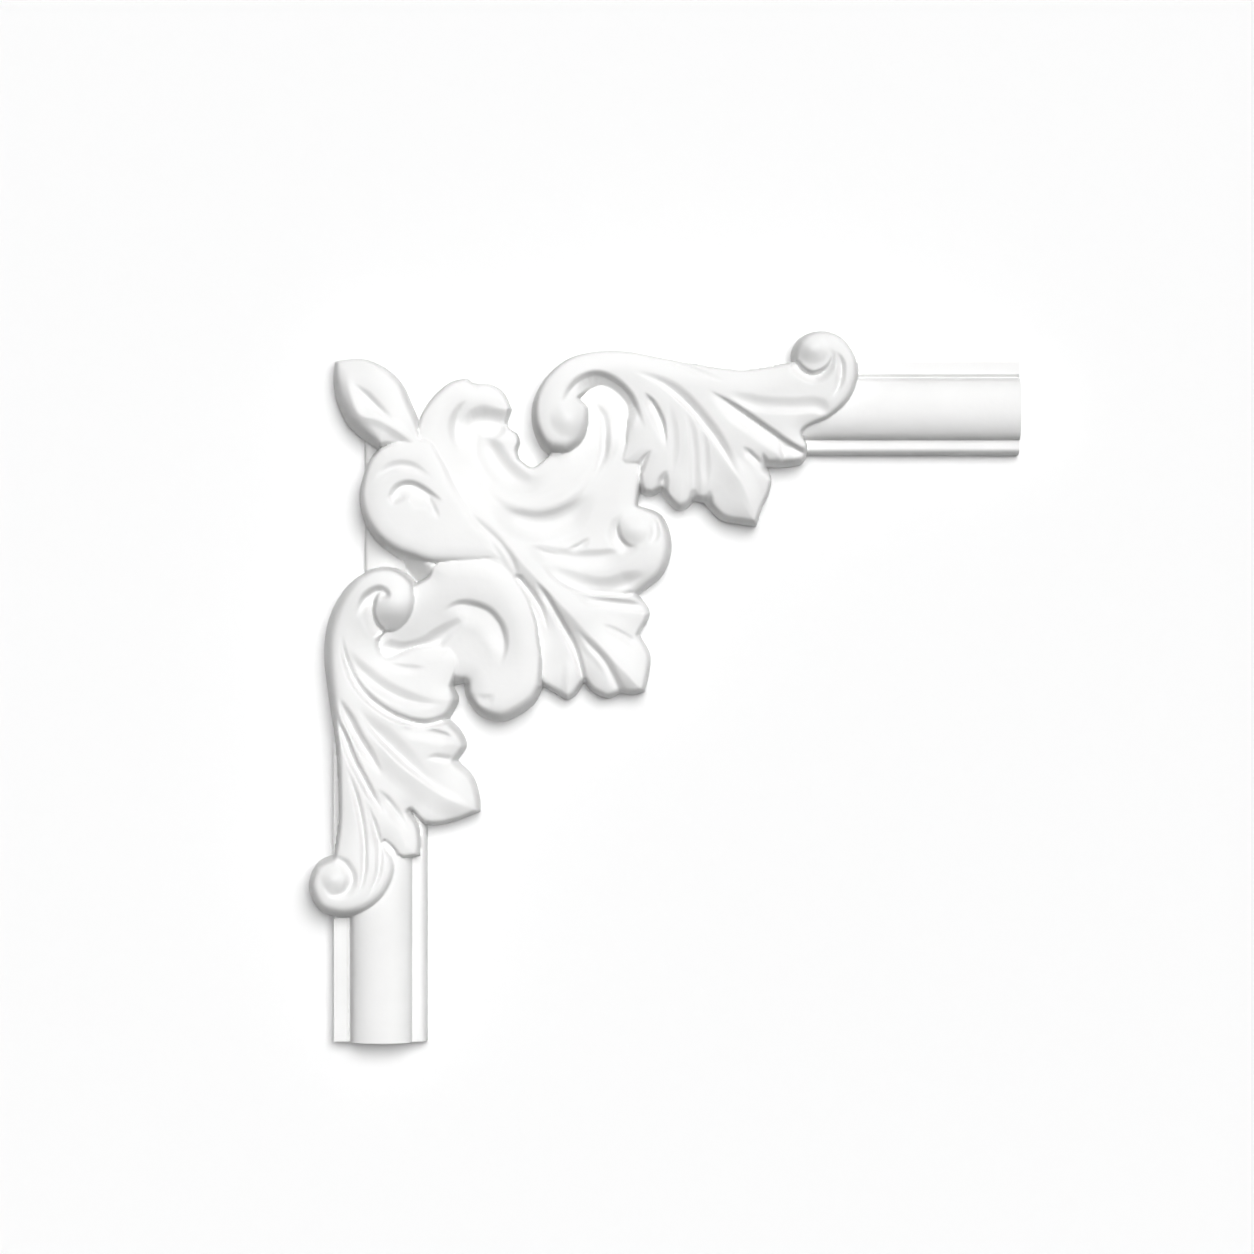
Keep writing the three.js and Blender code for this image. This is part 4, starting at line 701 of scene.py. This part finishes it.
def build_surface():
    """The front as a grid clipped on the outline: its points, its faces and the rim's edges."""
    loops = [closed_outline(layer["arcs"], layer["edge"]) for layer in ORNAMENT]
    start_x = min(loop[:, 0].min() for loop in loops) - SHEET_MARGIN
    start_y = min(loop[:, 1].min() for loop in loops) - SHEET_MARGIN
    lines_x = grid_lines(start_x, ORNAMENT_RIGHT, END_X)
    lines_y = grid_lines(start_y, ORNAMENT_BOTTOM, END_Y)
    xx, yy = np.meshgrid(lines_x, lines_y)
    depth, height = [grid.reshape(xx.shape) for grid in measure(xx.ravel(), yy.ravel())]

    # One more row and column of outside points cuts the mouldings square at their ends.
    xx, yy, height = [np.pad(grid, ((0, 1), (0, 1)), mode="edge") for grid in (xx, yy, height)]
    depth = np.pad(depth, ((0, 1), (0, 1)), constant_values=-1.0)
    inside = depth > 0
    place = np.full(xx.shape, -1)
    place[inside] = np.arange(inside.sum())
    points = np.column_stack([xx[inside], yy[inside], height[inside]])

    corners = np.stack([place[:-1, :-1], place[:-1, 1:], place[1:, 1:], place[1:, :-1]], axis=-1)
    whole = (corners >= 0).all(axis=-1)
    faces = corners[whole][:, ::-1].tolist()
    partial = np.argwhere((corners >= 0).any(axis=-1) & ~whole)

    crossings = {}
    crossing_xy = []

    def crossing(a, b):
        """The point where the outline cuts the grid edge between two grid points."""
        key = (min(a, b), max(a, b))
        if key not in crossings:
            share = depth[a] / (depth[a] - depth[b])
            crossings[key] = len(points) + len(crossing_xy)
            crossing_xy.append((xx[a] + share * (xx[b] - xx[a]), yy[a] + share * (yy[b] - yy[a])))
        return crossings[key]

    rim = []
    for row, column in partial.tolist():
        cell = [(row, column), (row, column + 1), (row + 1, column + 1), (row + 1, column)]
        for k in range(4):
            if inside[cell[k]] or not inside[cell[(k + 1) % 4]]:
                continue
            face = [crossing(cell[k], cell[(k + 1) % 4])]
            step = k + 1
            while inside[cell[step % 4]]:
                face.append(int(place[cell[step % 4]]))
                step += 1
            face.append(crossing(cell[(step - 1) % 4], cell[step % 4]))
            faces.append(face[::-1])
            rim.append((face[-1], face[0]))
    crossing_xy = np.array(crossing_xy)
    _, edge_height = measure(crossing_xy[:, 0], crossing_xy[:, 1], EDGE_START)
    points = np.vstack([points, np.column_stack([crossing_xy, edge_height])])
    return points, faces, rim


def add_object(name, data):
    obj = bpy.data.objects.new(name, data)
    bpy.context.collection.objects.link(obj)
    return obj


def place_points(points):
    """Sheet units to metres: the wall is Y = 0 and the face looks to -Y."""
    return np.column_stack([
        (points[:, 0] - AXIS_X) * UNIT,
        -points[:, 2] * UNIT,
        (AXIS_Y - points[:, 1]) * UNIT,
    ])


def make_corner():
    """The whole casting: the front, upright edges down to the wall and a flat back."""
    points, faces, rim = build_surface()
    coordinates = place_points(points)
    rim_places = sorted({place for pair in rim for place in pair})
    back_of = {place: len(points) + k for k, place in enumerate(rim_places)}
    back = coordinates[rim_places].copy()
    back[:, 1] = 0.0
    faces += [[b, a, back_of[a], back_of[b]] for a, b in rim]
    mesh = bpy.data.meshes.new(NODE + "_surface")
    mesh.from_pydata(np.vstack([coordinates, back]).tolist(), [], faces)

    form = bmesh.new()
    form.from_mesh(mesh)
    first_back = len(points)
    back_edges = [edge for edge in form.edges if all(vert.index >= first_back for vert in edge.verts)]
    bmesh.ops.triangle_fill(form, edges=back_edges, use_beauty=True)
    bmesh.ops.remove_doubles(form, verts=form.verts, dist=MERGE_DISTANCE)
    bmesh.ops.recalc_face_normals(form, faces=form.faces)
    form.to_mesh(mesh)
    form.free()
    mesh.shade_smooth()
    mesh.set_sharp_from_angle(angle=SHARP_ANGLE)
    return add_object("moulding_corner_surface", mesh)


# Materials

def new_material(name):
    material = bpy.data.materials.new(name)
    material.use_nodes = True
    return material, material.node_tree.nodes, material.node_tree.links


def make_casting_material():
    """White primer with a faint change of tone and gloss, slightly wavy and finely grained."""
    material, nodes, links = new_material("primed_casting_fine")
    shader = nodes["Principled BSDF"]
    shader.inputs["Specular IOR Level"].default_value = SPECULAR_LEVEL
    place = nodes.new("ShaderNodeTexCoord").outputs["Object"]

    def noise(scale, detail):
        node = nodes.new("ShaderNodeTexNoise")
        node.inputs["Scale"].default_value = scale
        node.inputs["Detail"].default_value = detail
        links.new(place, node.inputs["Vector"])
        return node.outputs["Fac"]

    def mapped(value, low, high):
        node = nodes.new("ShaderNodeMapRange")
        node.inputs["From Min"].default_value = NOISE_RANGE[0]
        node.inputs["From Max"].default_value = NOISE_RANGE[1]
        node.inputs["To Min"].default_value = low
        node.inputs["To Max"].default_value = high
        links.new(value, node.inputs["Value"])
        return node.outputs["Result"]

    tone = nodes.new("ShaderNodeMix")
    tone.data_type = "RGBA"
    tone.inputs["A"].default_value = (*PRIMER_DULL, 1)
    tone.inputs["B"].default_value = (*PRIMER_BRIGHT, 1)
    links.new(mapped(noise(*TONE_PATTERN), 0, 1), tone.inputs["Factor"])
    links.new(tone.outputs["Result"], shader.inputs["Base Color"])
    links.new(mapped(noise(*ROUGHNESS_PATTERN), *ROUGHNESS_RANGE), shader.inputs["Roughness"])

    waviness = nodes.new("ShaderNodeBump")
    waviness.inputs["Strength"].default_value = WAVINESS_STRENGTH
    waviness.inputs["Distance"].default_value = WAVINESS_DEPTH
    links.new(noise(*WAVINESS_PATTERN), waviness.inputs["Height"])
    grain = nodes.new("ShaderNodeBump")
    grain.inputs["Strength"].default_value = GRAIN_STRENGTH
    grain.inputs["Distance"].default_value = GRAIN_DEPTH
    links.new(noise(*GRAIN_PATTERN), grain.inputs["Height"])
    links.new(waviness.outputs["Normal"], grain.inputs["Normal"])
    links.new(grain.outputs["Normal"], shader.inputs["Normal"])
    return material


def make_backdrop_material():
    """Pale paint on the front only, so that the casting can also be seen from behind."""
    material, nodes, links = new_material("pale_wall")
    shader = nodes["Principled BSDF"]
    shader.inputs["Base Color"].default_value = (*WALL_COLOUR, 1)
    shader.inputs["Roughness"].default_value = WALL_ROUGHNESS
    shader.inputs["Specular IOR Level"].default_value = WALL_SPECULAR_LEVEL
    clear = nodes.new("ShaderNodeBsdfTransparent")
    facing = nodes.new("ShaderNodeMixShader")
    links.new(nodes.new("ShaderNodeNewGeometry").outputs["Backfacing"], facing.inputs["Fac"])
    links.new(shader.outputs["BSDF"], facing.inputs[1])
    links.new(clear.outputs["BSDF"], facing.inputs[2])
    links.new(facing.outputs["Shader"], nodes["Material Output"].inputs["Surface"])
    return material


# Stage, light and camera

def make_wall():
    """A pale wall behind the casting. Its back is unpainted, and light passes it to the flat back."""
    size = WALL_SIZE / 2
    square = ((-size, -size), (size, -size), (size, size), (-size, size))
    mesh = bpy.data.meshes.new("wall")
    mesh.from_pydata([(x, WALL_GAP, z) for x, z in square], [], [(0, 1, 2, 3)])
    mesh.materials.append(make_backdrop_material())
    wall = add_object("wall", mesh)
    wall.visible_shadow = False


def make_surround():
    """A pale shell round the studio. It gives no light, and only keeps views past the wall pale."""
    form = bmesh.new()
    bmesh.ops.create_icosphere(form, subdivisions=SURROUND_SUBDIVISIONS, radius=SURROUND_RADIUS)
    mesh = bpy.data.meshes.new("surround")
    form.to_mesh(mesh)
    form.free()
    material, nodes, links = new_material("surround")
    nodes.clear()
    glow = nodes.new("ShaderNodeEmission")
    glow.inputs["Color"].default_value = (*SURROUND_COLOUR, 1)
    output = nodes.new("ShaderNodeOutputMaterial")
    links.new(glow.outputs["Emission"], output.inputs["Surface"])
    mesh.materials.append(material)
    surround = add_object("surround", mesh)
    surround.visible_diffuse = False
    surround.visible_glossy = False
    surround.visible_transmission = False
    surround.visible_shadow = False


def aim(obj, target):
    obj.rotation_euler = (Vector(target) - obj.location).to_track_quat("-Z", "Y").to_euler()


def make_light(name, source, angle, strength):
    """A distant soft light, so that the wall is lit evenly; it shines from the source to the origin."""
    light = bpy.data.lights.new(name, "SUN")
    light.angle = angle
    light.energy = strength
    lamp = add_object(name, light)
    lamp.location = source
    aim(lamp, (0, 0, 0))


def make_lighting():
    make_light("key", KEY_FROM, KEY_ANGLE, KEY_STRENGTH)
    make_light("fill", FILL_FROM, FILL_ANGLE, FILL_STRENGTH)
    make_light("back", BACK_FROM, BACK_ANGLE, BACK_STRENGTH)
    world = bpy.data.worlds.new("studio")
    world.use_nodes = True
    background = world.node_tree.nodes["Background"]
    background.inputs["Color"].default_value = (1, 1, 1, 1)
    background.inputs["Strength"].default_value = WORLD_STRENGTH
    bpy.context.scene.world = world
    bpy.context.scene.view_settings.view_transform = "Standard"
    bpy.context.scene.view_settings.gamma = DISPLAY_GAMMA


def make_camera():
    """Square-on, so far off that the whole sheet fills the frame at the relief's mean height."""
    camera = bpy.data.cameras.new("camera")
    camera.lens = LENS
    camera.sensor_width = SENSOR
    viewer = add_object("camera", camera)
    away = SHEET_SIZE * UNIT * LENS / SENSOR + MEAN_HEIGHT
    viewer.location = Vector(VIEW_CENTRE) - Vector((0, away, 0))
    aim(viewer, VIEW_CENTRE)
    bpy.context.scene.camera = viewer


corner = make_corner()
corner.data.materials.append(make_casting_material())
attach(corner, "root")
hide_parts(NODE)
make_wall()
make_surround()
make_lighting()
make_camera()
